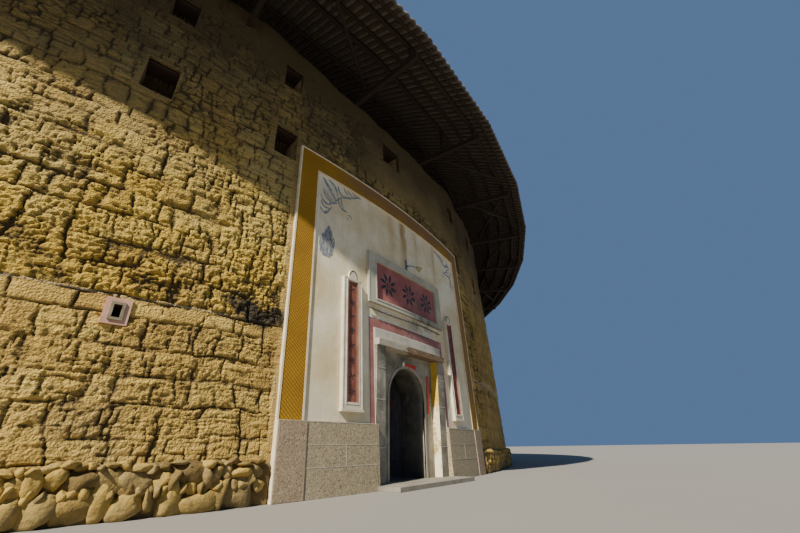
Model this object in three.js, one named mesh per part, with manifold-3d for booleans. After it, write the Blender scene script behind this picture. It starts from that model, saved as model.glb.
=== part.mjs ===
// Tulou roundhouse at 1:2 scale: a ring of rammed earth round a timber gallery house of four storeys.
// The origin is the centre of the ring on the ground, +Z is up and the gate faces -Y.
import * as THREE from 'three';
import Module from 'manifold-3d';

const wasm = await Module();
wasm.setup();

// Every size below is the real house's, in millimetres, brought to the model's scale by real().
const modelScale = 0.5;
const real = (millimetres) => millimetres * modelScale;

// Earth wall
const wallRadius = real(30000);
const wallBatter = 0.05;
const wallInnerRadius = real(28300);
const wallTop = real(11500);
const footingHeight = real(600);
const footingProud = real(100);
const gateSideAngle = 11.25;
const wallSideAngle = 56.25;
const wallFacetAngle = 3.75;
const gateFacetAngle = 1;
const wallPlaces = ['front', 'side', 'back'];

// Windows: one row on the third storey and one on the fourth
const thirdRow = { width: real(620), sill: real(7630), height: real(930) };
const fourthRow = { width: real(560), sill: real(10190), height: real(870) };
const gateWindow = { width: real(950), sill: real(9940), height: real(870), arc: real(-410) };
const nearWindowAngle = 8.9;
const firstWindowAngle = 14.56;
const windowsPerSide = 30;
const windowStep = (180 - firstWindowAngle) / (windowsPerSide - 0.5);
const windowsPerWall = 10;

// Vents low in the wall
const vent = { width: real(160), height: real(260), middle: real(2850), angle: 13.54 };
const ventRim = { width: real(400), height: real(430), proud: real(24) };

// Gallery house
const frameCount = 48;
const frameAngle = 360 / frameCount;
const frameOffset = 3.2;
const postStride = 2;
const galleryEdge = real(22200);
const postRadius = real(22420);
const postWidth = real(180);
const ringBeamWidth = real(240);
const ringBeamHeight = real(250);
const floorTops = [real(3900), real(6500), real(9100)];
const floorThickness = real(250);
const floorCornerOffset = frameOffset - wallFacetAngle / 2;
const railHeight = real(950);
const railThickness = real(50);
const railInner = galleryEdge + real(20);

// Roof
const eaveRadius = real(32570);
const eaveHeight = real(11960);
const roofSlope = 0.47;
const ridgeRadius = real(25800);
const innerEaveRadius = real(20600);
const deckThickness = real(180);
const eaveBeam = { inner: real(22300), outer: real(32200), width: real(130), height: real(190) };
const purlinWidth = real(120);
const purlinHeight = real(140);
const postLap = real(35);
const roofPostWidth = real(110);
const eavePurlinRadius = real(31950);
const middlePurlinRadius = real(30600);
const innerPurlinRadius = real(22450);
const ridgeCapWidth = real(420);
const ridgeCapHeight = real(240);

// Plastered gate panel, measured along the wall from the middle of the gate
const panelHalf = real(4230);
const bandInnerHalf = real(3690);
const panelTop = real(8220);
const bandInnerTop = real(7670);
const dadoTop = real(1332);
const plasterProud = real(110);
const bandProud = real(140);
const dadoProud = real(190);

// Gateway
const gatewayHalf = real(1620);
const recessHalf = real(1270);
const recessDepth = real(240);
const recessHead = real(3220);
const lintel = { height: real(160), proud: real(230) };
const archHalf = real(824);
const archSpring = real(2030);
const archSill = real(80);
const archBack = real(1040);
const step = { half: real(1700), reach: real(740), height: real(90) };

// Gate leaves, which turn inward on pivots behind the arch
const pivotX = real(940);
const pivotDepth = real(1160);
const leaf = { reach: real(934), thickness: real(70), bottom: real(130), top: real(2950) };
const stileRadius = real(50);
const socketRadius = real(55);
const pivotSill = { half: real(1400), height: real(120), back: real(1290), socketFloor: real(56) };
const pivotHead = { bottom: real(2960), top: real(3200) };
const stileTop = real(3180);

// Name board and upright boards beside the gate
const nameFrame = { half: real(1870), bottom: real(4340), top: real(5870), proud: real(90) };
const nameBoard = { half: real(1550), bottom: real(4500), top: real(5630), proud: real(30) };
const sideBoard = {
  arc: real(2450),
  half: real(310),
  bottom: real(1600),
  top: real(4780),
  proud: real(90),
};
const sideBoardPanel = { half: real(150), foot: real(150), head: real(80), depth: real(50) };
const sideBoardArch = real(240);

// Clearances between faces that meet
const seat = 0.3;
const curvedSeat = 0.9;

const colours = {
  earth: { color: 0xb99a62, roughness: 0.95, metalness: 0 },
  boulder: { color: 0x9a8a6a, roughness: 0.9, metalness: 0 },
  timber: { color: 0x6b4a33, roughness: 0.8, metalness: 0 },
  tile: { color: 0x4c4640, roughness: 0.85, metalness: 0 },
  plaster: { color: 0xd9d3c2, roughness: 0.9, metalness: 0 },
  ochre: { color: 0xc08a1c, roughness: 0.85, metalness: 0 },
  granite: { color: 0x9c9180, roughness: 0.8, metalness: 0 },
  greyStone: { color: 0x8a8878, roughness: 0.8, metalness: 0 },
  redBoard: { color: 0x9c4f48, roughness: 0.7, metalness: 0 },
  gateWood: { color: 0x4a4a4c, roughness: 0.7, metalness: 0 },
  pinkRim: { color: 0xd6a58c, roughness: 0.9, metalness: 0 },
};

const radians = THREE.MathUtils.degToRad;
const faceRadius = (height) => wallRadius - wallBatter * height;
const angleOfArc = (arc) => THREE.MathUtils.radToDeg(arc / wallRadius);
const wallFlatRadius = wallInnerRadius * Math.cos(radians(wallFacetAngle / 2));
const floorReach = wallFlatRadius / Math.cos(radians(floorCornerOffset)) - seat;
const seatAngle = THREE.MathUtils.radToDeg(seat / wallInnerRadius);
const roofUnderside = (radius) => (radius > ridgeRadius
  ? eaveHeight + (eaveRadius - radius) * roofSlope
  : eaveHeight + (eaveRadius - 2 * ridgeRadius + radius) * roofSlope);

const house = new THREE.Group();

function addPiece(name, solid, finish) {
  const mesh = new THREE.Mesh(geometryFrom(solid), new THREE.MeshStandardMaterial(finish));
  mesh.name = name;
  house.add(mesh);
  return mesh;
}

function solidFrom(geometry) {
  const corners = new Map();
  const places = geometry.attributes.position;
  const number = (index) => {
    const place = [places.getX(index), places.getY(index), places.getZ(index)];
    const key = place.map((length) => Math.round(length * 100)).join(' ');
    if (!corners.has(key)) {
      corners.set(key, index);
    }
    return corners.get(key);
  };
  const count = geometry.index ? geometry.index.count : places.count;
  const triangles = [];
  for (let i = 0; i < count; i += 3) {
    const face = [0, 1, 2].map((k) => number(geometry.index ? geometry.index.getX(i + k) : i + k));
    if (new Set(face).size === 3) {
      triangles.push(...face);
    }
  }
  return new wasm.Manifold(new wasm.Mesh({
    numProp: 3,
    vertProperties: Float32Array.from(places.array),
    triVerts: Uint32Array.from(triangles),
  }));
}

function geometryFrom(solid) {
  const { vertProperties, triVerts } = solid.getMesh();
  const geometry = new THREE.BufferGeometry();
  geometry.setAttribute('position', new THREE.BufferAttribute(Float32Array.from(vertProperties), 3));
  geometry.setIndex(Array.from(triVerts));
  geometry.computeVertexNormals();
  return geometry;
}

const joined = (solids) => solids.reduce((whole, solid) => whole.add(solid));
const cutBy = (solid, tools) => tools.reduce((rest, tool) => rest.subtract(tool), solid);

// An outline of [radius, height] points, counterclockwise, swept round the middle of the ring.
function sweptRing(outline, steps, from = 0, to = 360) {
  const full = to - from >= 360;
  const count = outline.length;
  const points = [...outline, outline[0]].map(([radius, height]) => new THREE.Vector2(radius, height));
  const skin = new THREE.LatheGeometry(points, steps, radians(from), radians(to - from));
  const place = (index) => {
    const column = Math.floor(index / (count + 1));
    const row = index % (count + 1) % count;
    return (full ? column % steps : column) * (count + 1) + row;
  };
  const faces = Array.from(skin.index.array, place);
  if (!full) {
    const last = steps * (count + 1);
    for (const [a, b, c] of THREE.ShapeUtils.triangulateShape(points.slice(0, count), [])) {
      faces.push(a, b, c, last + a, last + c, last + b);
    }
  }
  skin.setIndex(faces);
  skin.rotateX(Math.PI / 2);
  return solidFrom(skin);
}

// A skin on the battered wall, between two arcs and two heights.
function wallSkin(fromArc, toArc, bottom, top, inset, proud) {
  const steps = Math.ceil((angleOfArc(toArc) - angleOfArc(fromArc)) / gateFacetAngle);
  const outline = [
    [faceRadius(bottom) + inset, bottom],
    [faceRadius(bottom) + proud, bottom],
    [faceRadius(top) + proud, top],
    [faceRadius(top) + inset, top],
  ];
  return sweptRing(outline, steps, angleOfArc(fromArc), angleOfArc(toArc));
}

function block(fromX, toX, fromY, toY, fromZ, toZ) {
  const geometry = new THREE.BoxGeometry(toX - fromX, toY - fromY, toZ - fromZ);
  geometry.translate((fromX + toX) / 2, (fromY + toY) / 2, (fromZ + toZ) / 2);
  return solidFrom(geometry);
}

// A block between two radii, centred on an angle.
function radialBlock(angle, fromRadius, toRadius, width, bottom, top) {
  const geometry = new THREE.BoxGeometry(width, toRadius - fromRadius, top - bottom);
  geometry.translate(0, -(fromRadius + toRadius) / 2, (bottom + top) / 2);
  geometry.rotateZ(radians(angle));
  return solidFrom(geometry);
}

function upright(x, y, radius, bottom, top) {
  const geometry = new THREE.CylinderGeometry(radius, radius, top - bottom, 12);
  geometry.rotateX(Math.PI / 2);
  geometry.translate(x, y, (bottom + top) / 2);
  return solidFrom(geometry);
}

// Earth wall and its boulder footing
const cutInner = wallInnerRadius * 0.9;
const cutOuter = wallRadius * 1.1;

function windowCut(angle, row) {
  return radialBlock(angle, cutInner, cutOuter, row.width, row.sill, row.sill + row.height);
}

function ventCut(angle) {
  const bottom = vent.middle - vent.height / 2;
  return radialBlock(angle, cutInner, cutOuter, vent.width, bottom, bottom + vent.height);
}

function wallRing(bottom, from, to, facet) {
  const outline = [
    [wallInnerRadius, bottom],
    [faceRadius(bottom), bottom],
    [faceRadius(wallTop), wallTop],
    [wallInnerRadius, wallTop],
  ];
  return sweptRing(outline, Math.round((to - from) / facet), from, to);
}

function addWallSide(sideName, direction) {
  wallPlaces.forEach((place, index) => {
    const near = gateSideAngle + index * wallSideAngle + seatAngle;
    const far = near + wallSideAngle - seatAngle;
    const [from, to] = direction > 0 ? [near, far] : [-far, -near];
    const cuts = [ventCut(direction * (vent.angle + index * wallSideAngle))];
    for (let i = 0; i < windowsPerWall; i += 1) {
      const angle = direction * (firstWindowAngle + (index * windowsPerWall + i) * windowStep);
      cuts.push(windowCut(angle, thirdRow), windowCut(angle, fourthRow));
    }
    const wall = wallRing(footingHeight, from, to, wallFacetAngle);
    addPiece(`earth_wall_${sideName}_${place}`, cutBy(wall, cuts), colours.earth);
  });
  const nearEnd = gateSideAngle + seatAngle;
  const farEnd = 180 - seatAngle;
  const [from, to] = direction > 0 ? [nearEnd, farEnd] : [-farEnd, -nearEnd];
  const outline = [
    [wallInnerRadius - footingProud, 0],
    [wallRadius + footingProud, 0],
    [wallRadius + footingProud, footingHeight],
    [wallInnerRadius - footingProud, footingHeight],
  ];
  addPiece(`boulder_footing_${sideName}`, sweptRing(outline, 45, from, to), colours.boulder);
}

function addGateWalls() {
  const whole = wallRing(0, -gateSideAngle, gateSideAngle, gateFacetAngle);
  const reach = wallRadius;
  const beside = (direction) => {
    const [from, to] = direction > 0 ? [gatewayHalf, reach] : [-reach, -gatewayHalf];
    const cuts = [thirdRow, fourthRow].map((row) => windowCut(direction * nearWindowAngle, row));
    return cutBy(whole.intersect(block(from, to, -2 * reach, 0, -1, 2 * wallTop)), cuts);
  };
  addPiece('gate_wall_left', beside(-1), colours.earth);
  addPiece('gate_wall_right', beside(1), colours.earth);
  const underside = recessHead + lintel.height;
  const above = block(-gatewayHalf, gatewayHalf, -2 * reach, 0, underside, 2 * wallTop);
  const opening = windowCut(angleOfArc(gateWindow.arc), gateWindow);
  addPiece('gate_wall_over', whole.intersect(above).subtract(opening), colours.earth);
}

function addVentRim() {
  const outer = new THREE.Shape();
  const halfWidth = ventRim.width / 2;
  const halfHeight = ventRim.height / 2;
  outer.moveTo(-halfWidth, -halfHeight);
  outer.lineTo(halfWidth, -halfHeight);
  outer.lineTo(halfWidth, halfHeight);
  outer.lineTo(-halfWidth, halfHeight);
  const hole = new THREE.Path();
  hole.moveTo(-vent.width / 2, -vent.height / 2);
  hole.lineTo(-vent.width / 2, vent.height / 2);
  hole.lineTo(vent.width / 2, vent.height / 2);
  hole.lineTo(vent.width / 2, -vent.height / 2);
  outer.holes.push(hole);
  const rim = solidFrom(new THREE.ExtrudeGeometry(outer, { depth: ventRim.proud, bevelEnabled: false }));
  const mesh = addPiece('vent_rim', rim, colours.pinkRim);
  const facetMiddle = gateSideAngle + wallFacetAngle / 2;
  const facetDepth = faceRadius(vent.middle) * (1 - Math.cos(radians(wallFacetAngle / 2)));
  const sideways = faceRadius(vent.middle) * Math.sin(radians(facetMiddle - vent.angle));
  standOnWall(mesh, -facetMiddle, vent.middle, seat - facetDepth, sideways);
}

// Turns a flat piece, drawn upright and facing +Z, so that it lies on the battered wall.
function standOnWall(mesh, angle, height, inset, sideways = 0) {
  const lean = Math.atan(wallBatter);
  const radius = faceRadius(height) + inset;
  mesh.rotation.set(Math.PI / 2 - lean, 0, 0);
  mesh.position.set(sideways, -radius, height);
  const turn = new THREE.Group();
  turn.rotation.z = radians(angle);
  turn.add(mesh);
  house.add(turn);
}

// Timber gallery house
function ringOf(inner, outer, bottom, top) {
  const outline = [[inner, bottom], [outer, bottom], [outer, top], [inner, top]];
  return sweptRing(outline, frameCount, frameOffset, frameOffset + 360);
}

function postsOn(radius, width, stride, bottom, top) {
  const posts = [];
  for (let i = 0; i < frameCount; i += stride) {
    const angle = frameOffset + i * frameAngle;
    posts.push(radialBlock(angle, radius - width / 2, radius + width / 2, width, bottom, top));
  }
  return posts;
}

function storeyFrame(bottom, top) {
  const inner = postRadius - ringBeamWidth / 2;
  const beam = ringOf(inner, inner + ringBeamWidth, top - ringBeamHeight, top);
  return joined([beam, ...postsOn(postRadius, postWidth, postStride, bottom, top - ringBeamHeight / 2)]);
}

function addGalleryHouse() {
  const storeys = ['ground', 'second', 'third', 'fourth'];
  const bottoms = [0, ...floorTops];
  const tops = [...floorTops.map((top) => top - floorThickness), wallTop];
  storeys.forEach((storey, index) => {
    addPiece(`${storey}_storey_frame`, storeyFrame(bottoms[index], tops[index]), colours.timber);
  });
  floorTops.forEach((top, index) => {
    const floor = ringOf(galleryEdge, floorReach, top - floorThickness, top);
    addPiece(`gallery_floor_${index + 2}`, floor, colours.timber);
    const railing = ringOf(railInner, railInner + railThickness, top, top + railHeight);
    addPiece(`gallery_railing_${index + 2}`, railing, colours.timber);
  });
}

// Roof timbers and tiled slopes
function purlinOutline(radius) {
  const inner = radius - purlinWidth / 2;
  const outer = radius + purlinWidth / 2;
  const bottom = roofUnderside(radius) - purlinHeight;
  const top = [outer, inner].map((edge) => [edge, roofUnderside(edge) - seat]);
  return [[inner, bottom], [outer, bottom], ...top];
}

function purlinPosts(radius, stride) {
  const top = roofUnderside(radius) - purlinHeight + postLap;
  return postsOn(radius, roofPostWidth, stride, wallTop + eaveBeam.height, top);
}

function postedPurlin(radius) {
  const ring = sweptRing(purlinOutline(radius), frameCount, frameOffset, frameOffset + 360);
  return joined([ring, ...purlinPosts(radius, postStride)]);
}

function ridgePurlin() {
  const inner = ridgeRadius - purlinWidth / 2;
  const outer = ridgeRadius + purlinWidth / 2;
  const underside = roofUnderside(ridgeRadius) - purlinHeight;
  const outline = [
    [inner, underside],
    [outer, underside],
    [outer, roofUnderside(outer) - seat],
    [ridgeRadius, roofUnderside(ridgeRadius) - seat],
    [inner, roofUnderside(inner) - seat],
  ];
  const ring = sweptRing(outline, frameCount, frameOffset, frameOffset + 360);
  return joined([ring, ...purlinPosts(ridgeRadius, postStride)]);
}

function addRoofTimbers() {
  const beamTop = wallTop + eaveBeam.height;
  const purlin = sweptRing(purlinOutline(eavePurlinRadius), frameCount, frameOffset, frameOffset + 360);
  const struts = postsOn(
    eavePurlinRadius,
    roofPostWidth,
    1,
    beamTop - eaveBeam.height / 2,
    roofUnderside(eavePurlinRadius) - purlinHeight + postLap,
  );
  const beams = [];
  for (let i = 0; i < frameCount; i += 1) {
    const angle = frameOffset + i * frameAngle;
    beams.push(radialBlock(angle, eaveBeam.inner, eaveBeam.outer, eaveBeam.width, wallTop, beamTop));
  }
  addPiece('eave_beams', joined([purlin, ...beams, ...struts]), colours.timber);
  addPiece('middle_purlin', postedPurlin(middlePurlinRadius), colours.timber);
  addPiece('ridge_purlin', ridgePurlin(), colours.timber);
  addPiece('inner_purlin', postedPurlin(innerPurlinRadius), colours.timber);
}

function slope(lowRadius) {
  const [inner, outer] = [Math.min(lowRadius, ridgeRadius), Math.max(lowRadius, ridgeRadius)];
  const outline = [
    [inner, roofUnderside(inner)],
    [outer, roofUnderside(outer)],
    [outer, roofUnderside(outer) + deckThickness],
    [inner, roofUnderside(inner) + deckThickness],
  ];
  return sweptRing(outline, frameCount, frameOffset, frameOffset + 360);
}

function addRoof() {
  addPiece('roof_outer_slope', slope(eaveRadius), colours.tile);
  addPiece('roof_inner_slope', slope(innerEaveRadius), colours.tile);
  const lap = (radius) => roofUnderside(radius) + deckThickness + seat;
  const inner = ridgeRadius - ridgeCapWidth / 2;
  const outer = ridgeRadius + ridgeCapWidth / 2;
  const outline = [
    [inner, lap(inner)],
    [ridgeRadius, lap(ridgeRadius)],
    [outer, lap(outer)],
    [ridgeRadius + ridgeCapWidth / 4, lap(ridgeRadius) + ridgeCapHeight],
    [ridgeRadius - ridgeCapWidth / 4, lap(ridgeRadius) + ridgeCapHeight],
  ];
  const cap = sweptRing(outline, frameCount, frameOffset, frameOffset + 360);
  addPiece('roof_ridge', cap, colours.tile);
}

// Plastered panel round the gate
function addPanel() {
  const gatewayTop = recessHead + lintel.height + seat;
  const gateway = block(-gatewayHalf - seat, gatewayHalf + seat, -2 * wallRadius, 0, -1, gatewayTop);
  const field = wallSkin(-bandInnerHalf, bandInnerHalf, dadoTop, bandInnerTop, curvedSeat, plasterProud);
  addPiece('panel_plaster', field.subtract(gateway), colours.plaster);
  const outer = wallSkin(-panelHalf, panelHalf, dadoTop, panelTop, curvedSeat, bandProud);
  const innerHalf = bandInnerHalf + seat;
  const inner = wallSkin(-innerHalf, innerHalf, 0, bandInnerTop + seat, -real(100), real(400));
  addPiece('panel_border', outer.subtract(inner), colours.ochre);
  for (const [name, direction] of [['left', -1], ['right', 1]]) {
    const arcs = [direction * recessHalf, direction * panelHalf].sort((a, b) => a - b);
    const dado = wallSkin(...arcs, 0, dadoTop - seat, curvedSeat, dadoProud);
    addPiece(`granite_dado_${name}`, dado.subtract(gateway), colours.granite);
  }
}

// Stone gateway with its recessed arch
function addGateway() {
  const postEnd = gatewayHalf - seat;
  const postBack = -wallRadius + recessDepth - seat;
  const left = block(-postEnd, -recessHalf, -wallRadius, postBack, 0, recessHead);
  const right = block(recessHalf, postEnd, -wallRadius, postBack, 0, recessHead);
  addPiece('gate_post_left', left, colours.greyStone);
  addPiece('gate_post_right', right, colours.greyStone);

  const head = recessHead + lintel.height - seat;
  const beamFront = -faceRadius(recessHead) - lintel.proud;
  const beamBack = -wallRadius + archBack;
  const beam = block(-postEnd, postEnd, beamFront, beamBack, recessHead + seat, head);
  addPiece('gate_lintel', beam, colours.timber);
  addPiece('gate_arch', archWall(), colours.greyStone);
  const sillEnd = recessHalf - seat;
  const sill = block(-sillEnd, sillEnd, -wallRadius + real(20), postBack, 0, archSill);
  addPiece('gate_threshold', sill, colours.greyStone);
  const slabFront = -wallRadius - step.reach;
  const slab = block(-step.half, step.half, slabFront, -wallRadius - seat, 0, step.height);
  const dados = wallSkin(-panelHalf, panelHalf, -1, dadoTop, -real(300), dadoProud + curvedSeat);
  const doorway = block(-gatewayHalf, gatewayHalf, slabFront, 0, -2, 2 * dadoTop);
  addPiece('gate_step', slab.subtract(dados.subtract(doorway)), colours.greyStone);
}

function archWall() {
  const front = -wallRadius + recessDepth;
  const back = -wallRadius + archBack;
  const wall = block(-gatewayHalf + seat, gatewayHalf - seat, front, back, 0, recessHead);
  const opening = new THREE.Shape();
  opening.moveTo(-archHalf, archSill);
  opening.lineTo(archHalf, archSill);
  opening.lineTo(archHalf, archSpring);
  opening.absarc(0, archSpring, archHalf, 0, Math.PI, false);
  const tunnelForm = { depth: 4 * archBack, bevelEnabled: false, curveSegments: 16 };
  const tunnel = new THREE.ExtrudeGeometry(opening, tunnelForm);
  tunnel.rotateX(Math.PI / 2);
  tunnel.translate(0, -wallRadius + 2 * archBack, 0);
  return wall.subtract(solidFrom(tunnel));
}

// Two leaves on upright pivots, standing open
function addGateLeaves() {
  const pivotY = -wallRadius + pivotDepth;
  const front = -wallRadius + archBack + seat;
  const back = -wallRadius + pivotSill.back;
  const sill = block(-pivotSill.half, pivotSill.half, front, back, 0, pivotSill.height);
  const headEnd = gatewayHalf - seat;
  const head = block(-headEnd, headEnd, front, back, pivotHead.bottom, pivotHead.top);
  const socketAt = (x) => upright(x, pivotY, socketRadius, pivotSill.socketFloor, 2 * stileTop);
  const sockets = [-pivotX, pivotX].map(socketAt);
  addPiece('gate_pivot_sill', cutBy(sill, sockets), colours.greyStone);
  addPiece('gate_pivot_head', cutBy(head, sockets), colours.timber);
  for (const [name, x] of [['left', -pivotX], ['right', pivotX]]) {
    const stile = upright(0, 0, stileRadius, pivotSill.socketFloor + seat, stileTop);
    const half = leaf.thickness / 2;
    const board = block(-half, half, 0, leaf.reach, leaf.bottom, leaf.top);
    const mesh = addPiece(`gate_leaf_${name}`, stile.add(board), colours.gateWood);
    mesh.position.set(x, pivotY, 0);
  }
}

// Name board over the gate and an upright board on each side of it
function addBoards() {
  const onPlaster = plasterProud + curvedSeat;
  const frame = wallSkin(-nameFrame.half, nameFrame.half, nameFrame.bottom, nameFrame.top, onPlaster,
    plasterProud + nameFrame.proud);
  const through = wallSkin(-nameBoard.half, nameBoard.half, nameBoard.bottom, nameBoard.top, 0, real(600));
  addPiece('name_board_frame', frame.subtract(through), colours.greyStone);
  const inset = real(4);
  const board = wallSkin(-nameBoard.half + inset, nameBoard.half - inset, nameBoard.bottom + inset,
    nameBoard.top - inset, onPlaster, plasterProud + nameBoard.proud);
  addPiece('name_board', board, colours.redBoard);
  for (const [name, direction] of [['left', -1], ['right', 1]]) {
    const mesh = addPiece(`side_board_${name}`, solidFrom(sideBoardGeometry()).subtract(sideBoardRecess()),
      colours.plaster);
    standOnWall(mesh, angleOfArc(direction * sideBoard.arc), sideBoard.bottom, plasterProud + seat);
  }
}

function sideBoardGeometry() {
  const height = sideBoard.top - sideBoard.bottom;
  const outline = new THREE.Shape();
  outline.moveTo(-sideBoard.half, 0);
  outline.lineTo(sideBoard.half, 0);
  outline.lineTo(sideBoard.half, height);
  outline.lineTo(sideBoardArch / 2, height);
  outline.quadraticCurveTo(sideBoardArch / 2, height + sideBoardArch, 0, height + sideBoardArch);
  outline.quadraticCurveTo(-sideBoardArch / 2, height + sideBoardArch, -sideBoardArch / 2, height);
  outline.lineTo(-sideBoard.half, height);
  const form = { depth: sideBoard.proud, bevelEnabled: false, curveSegments: 4 };
  return new THREE.ExtrudeGeometry(outline, form);
}

function sideBoardRecess() {
  const height = sideBoard.top - sideBoard.bottom;
  const half = sideBoardPanel.half;
  const bottom = sideBoard.proud - sideBoardPanel.depth;
  return block(-half, half, sideBoardPanel.foot, height - sideBoardPanel.head, bottom, 2 * sideBoard.proud);
}

addWallSide('left', -1);
addWallSide('right', 1);
addGateWalls();
addVentRim();
addGalleryHouse();
addRoofTimbers();
addRoof();
addPanel();
addGateway();
addGateLeaves();
addBoards();

export default house;
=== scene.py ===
from math import cos, pi, radians, sin, sqrt

import bpy
import numpy as np
from mathutils import Matrix, Vector


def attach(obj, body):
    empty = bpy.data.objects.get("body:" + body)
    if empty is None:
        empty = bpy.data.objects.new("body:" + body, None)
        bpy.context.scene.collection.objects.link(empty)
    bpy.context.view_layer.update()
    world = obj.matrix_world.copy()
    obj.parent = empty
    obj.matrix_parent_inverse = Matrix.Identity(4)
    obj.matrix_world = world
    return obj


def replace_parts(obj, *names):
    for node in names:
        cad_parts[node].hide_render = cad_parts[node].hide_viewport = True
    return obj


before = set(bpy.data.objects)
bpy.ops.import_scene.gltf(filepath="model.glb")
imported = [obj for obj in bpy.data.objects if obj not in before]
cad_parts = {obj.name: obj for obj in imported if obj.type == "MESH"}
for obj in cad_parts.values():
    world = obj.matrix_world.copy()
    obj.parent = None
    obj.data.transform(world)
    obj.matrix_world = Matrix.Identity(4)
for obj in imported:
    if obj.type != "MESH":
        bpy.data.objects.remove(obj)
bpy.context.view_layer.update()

# Round house at 1:2. The ring's centre is the origin, +Z is up and the gate faces -Y.
# A place on the wall is its arc along the face, to the right of the gate, and its height.
ring = {"radius": 15.0, "batter": 0.05, "top": 5.75, "frames": 48, "frameTurn": 3.2,
        "gateTurn": 11.25, "sideTurn": 56.25}
gateHalf = radians(ring["gateTurn"]) * ring["radius"]
sideSpan = radians(ring["sideTurn"]) * ring["radius"]
bay = 2 * pi / ring["frames"]
firstFrame = radians(ring["frameTurn"])
upward = (0, 0, 1)
sides = {"left": -1, "right": 1}


def around(turn, reach, height):
    return np.stack([reach * np.sin(turn), -reach * np.cos(turn), height], axis=-1)


def faceRadius(height):
    return ring["radius"] - ring["batter"] * height


def onWall(arc, height, proud=0.0):
    arc, height = np.broadcast_arrays(np.asarray(arc, float), np.asarray(height, float))
    return around(arc / ring["radius"], faceRadius(height) + proud, height)


def polar(turn, reach, height):
    return np.array([reach * sin(turn), -reach * cos(turn), height])


def mirrored(side, *arcs):
    # The two ends of a span on the right hand side of the gate, or of its twin on the left, in order
    return sorted(side * arc for arc in arcs)


# Camera and light
view = {"place": (-4.4808, -18.0455, 0.419), "yaw": 53.969, "pitch": 25.557, "roll": -0.847,
        "lens": 17.03, "sensor": 36.0, "farthest": 500}
light = {"towardsSun": (-0.758, -0.1136, 0.643), "sunStrength": 8.4, "sunSoftness": 0.8,
         "sunColour": (1.0, 0.93, 0.80), "skyColour": (0.31, 0.54, 1.0), "skyStrength": 0.32}


def stand(name, data):
    thing = bpy.data.objects.new(name, data)
    bpy.context.collection.objects.link(thing)
    return thing


def placeCamera():
    yaw, pitch, roll = (radians(view[key]) for key in ("yaw", "pitch", "roll"))
    ahead = Vector((sin(yaw) * cos(pitch), cos(yaw) * cos(pitch), sin(pitch)))
    right = Vector((cos(yaw), -sin(yaw), 0))
    up = right.cross(ahead)
    rightTilted = cos(roll) * right + sin(roll) * up
    upTilted = cos(roll) * up - sin(roll) * right
    camera = stand("camera", bpy.data.cameras.new("camera"))
    camera.data.lens = view["lens"]
    camera.data.sensor_width = view["sensor"]
    camera.data.clip_end = view["farthest"]
    turn = Matrix((rightTilted, upTilted, -ahead)).transposed()
    camera.matrix_world = Matrix.Translation(view["place"]) @ turn.to_4x4()
    bpy.context.scene.camera = camera


def placeLights():
    sun = stand("sun", bpy.data.lights.new("sun", "SUN"))
    sun.data.energy = light["sunStrength"]
    sun.data.angle = radians(light["sunSoftness"])
    sun.data.color = light["sunColour"]
    sun.rotation_mode = "QUATERNION"
    sun.rotation_quaternion = Vector(light["towardsSun"]).to_track_quat("Z", "Y")
    world = bpy.data.worlds.new("pale sky")
    world.use_nodes = True
    back = world.node_tree.nodes["Background"]
    back.inputs["Color"].default_value = (*light["skyColour"], 1)
    back.inputs["Strength"].default_value = light["skyStrength"]
    bpy.context.scene.world = world


# Node finishes
class Wire:
    # A node's output, which is added, multiplied and so on like a number
    def __init__(self, look, socket):
        self.look = look
        self.socket = socket

    def __add__(self, other):
        return self.look.work("ADD", self, other)

    def __sub__(self, other):
        return self.look.work("SUBTRACT", self, other)

    def __mul__(self, other):
        return self.look.work("MULTIPLY", self, other)

    def __truediv__(self, other):
        return self.look.work("DIVIDE", self, other)

    def level(self, low, high, first=0.0, last=1.0):
        values = [("Value", self), ("From Min", low), ("From Max", high), ("To Min", first), ("To Max", last)]
        return self.look.add("ShaderNodeMapRange", values)


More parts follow.
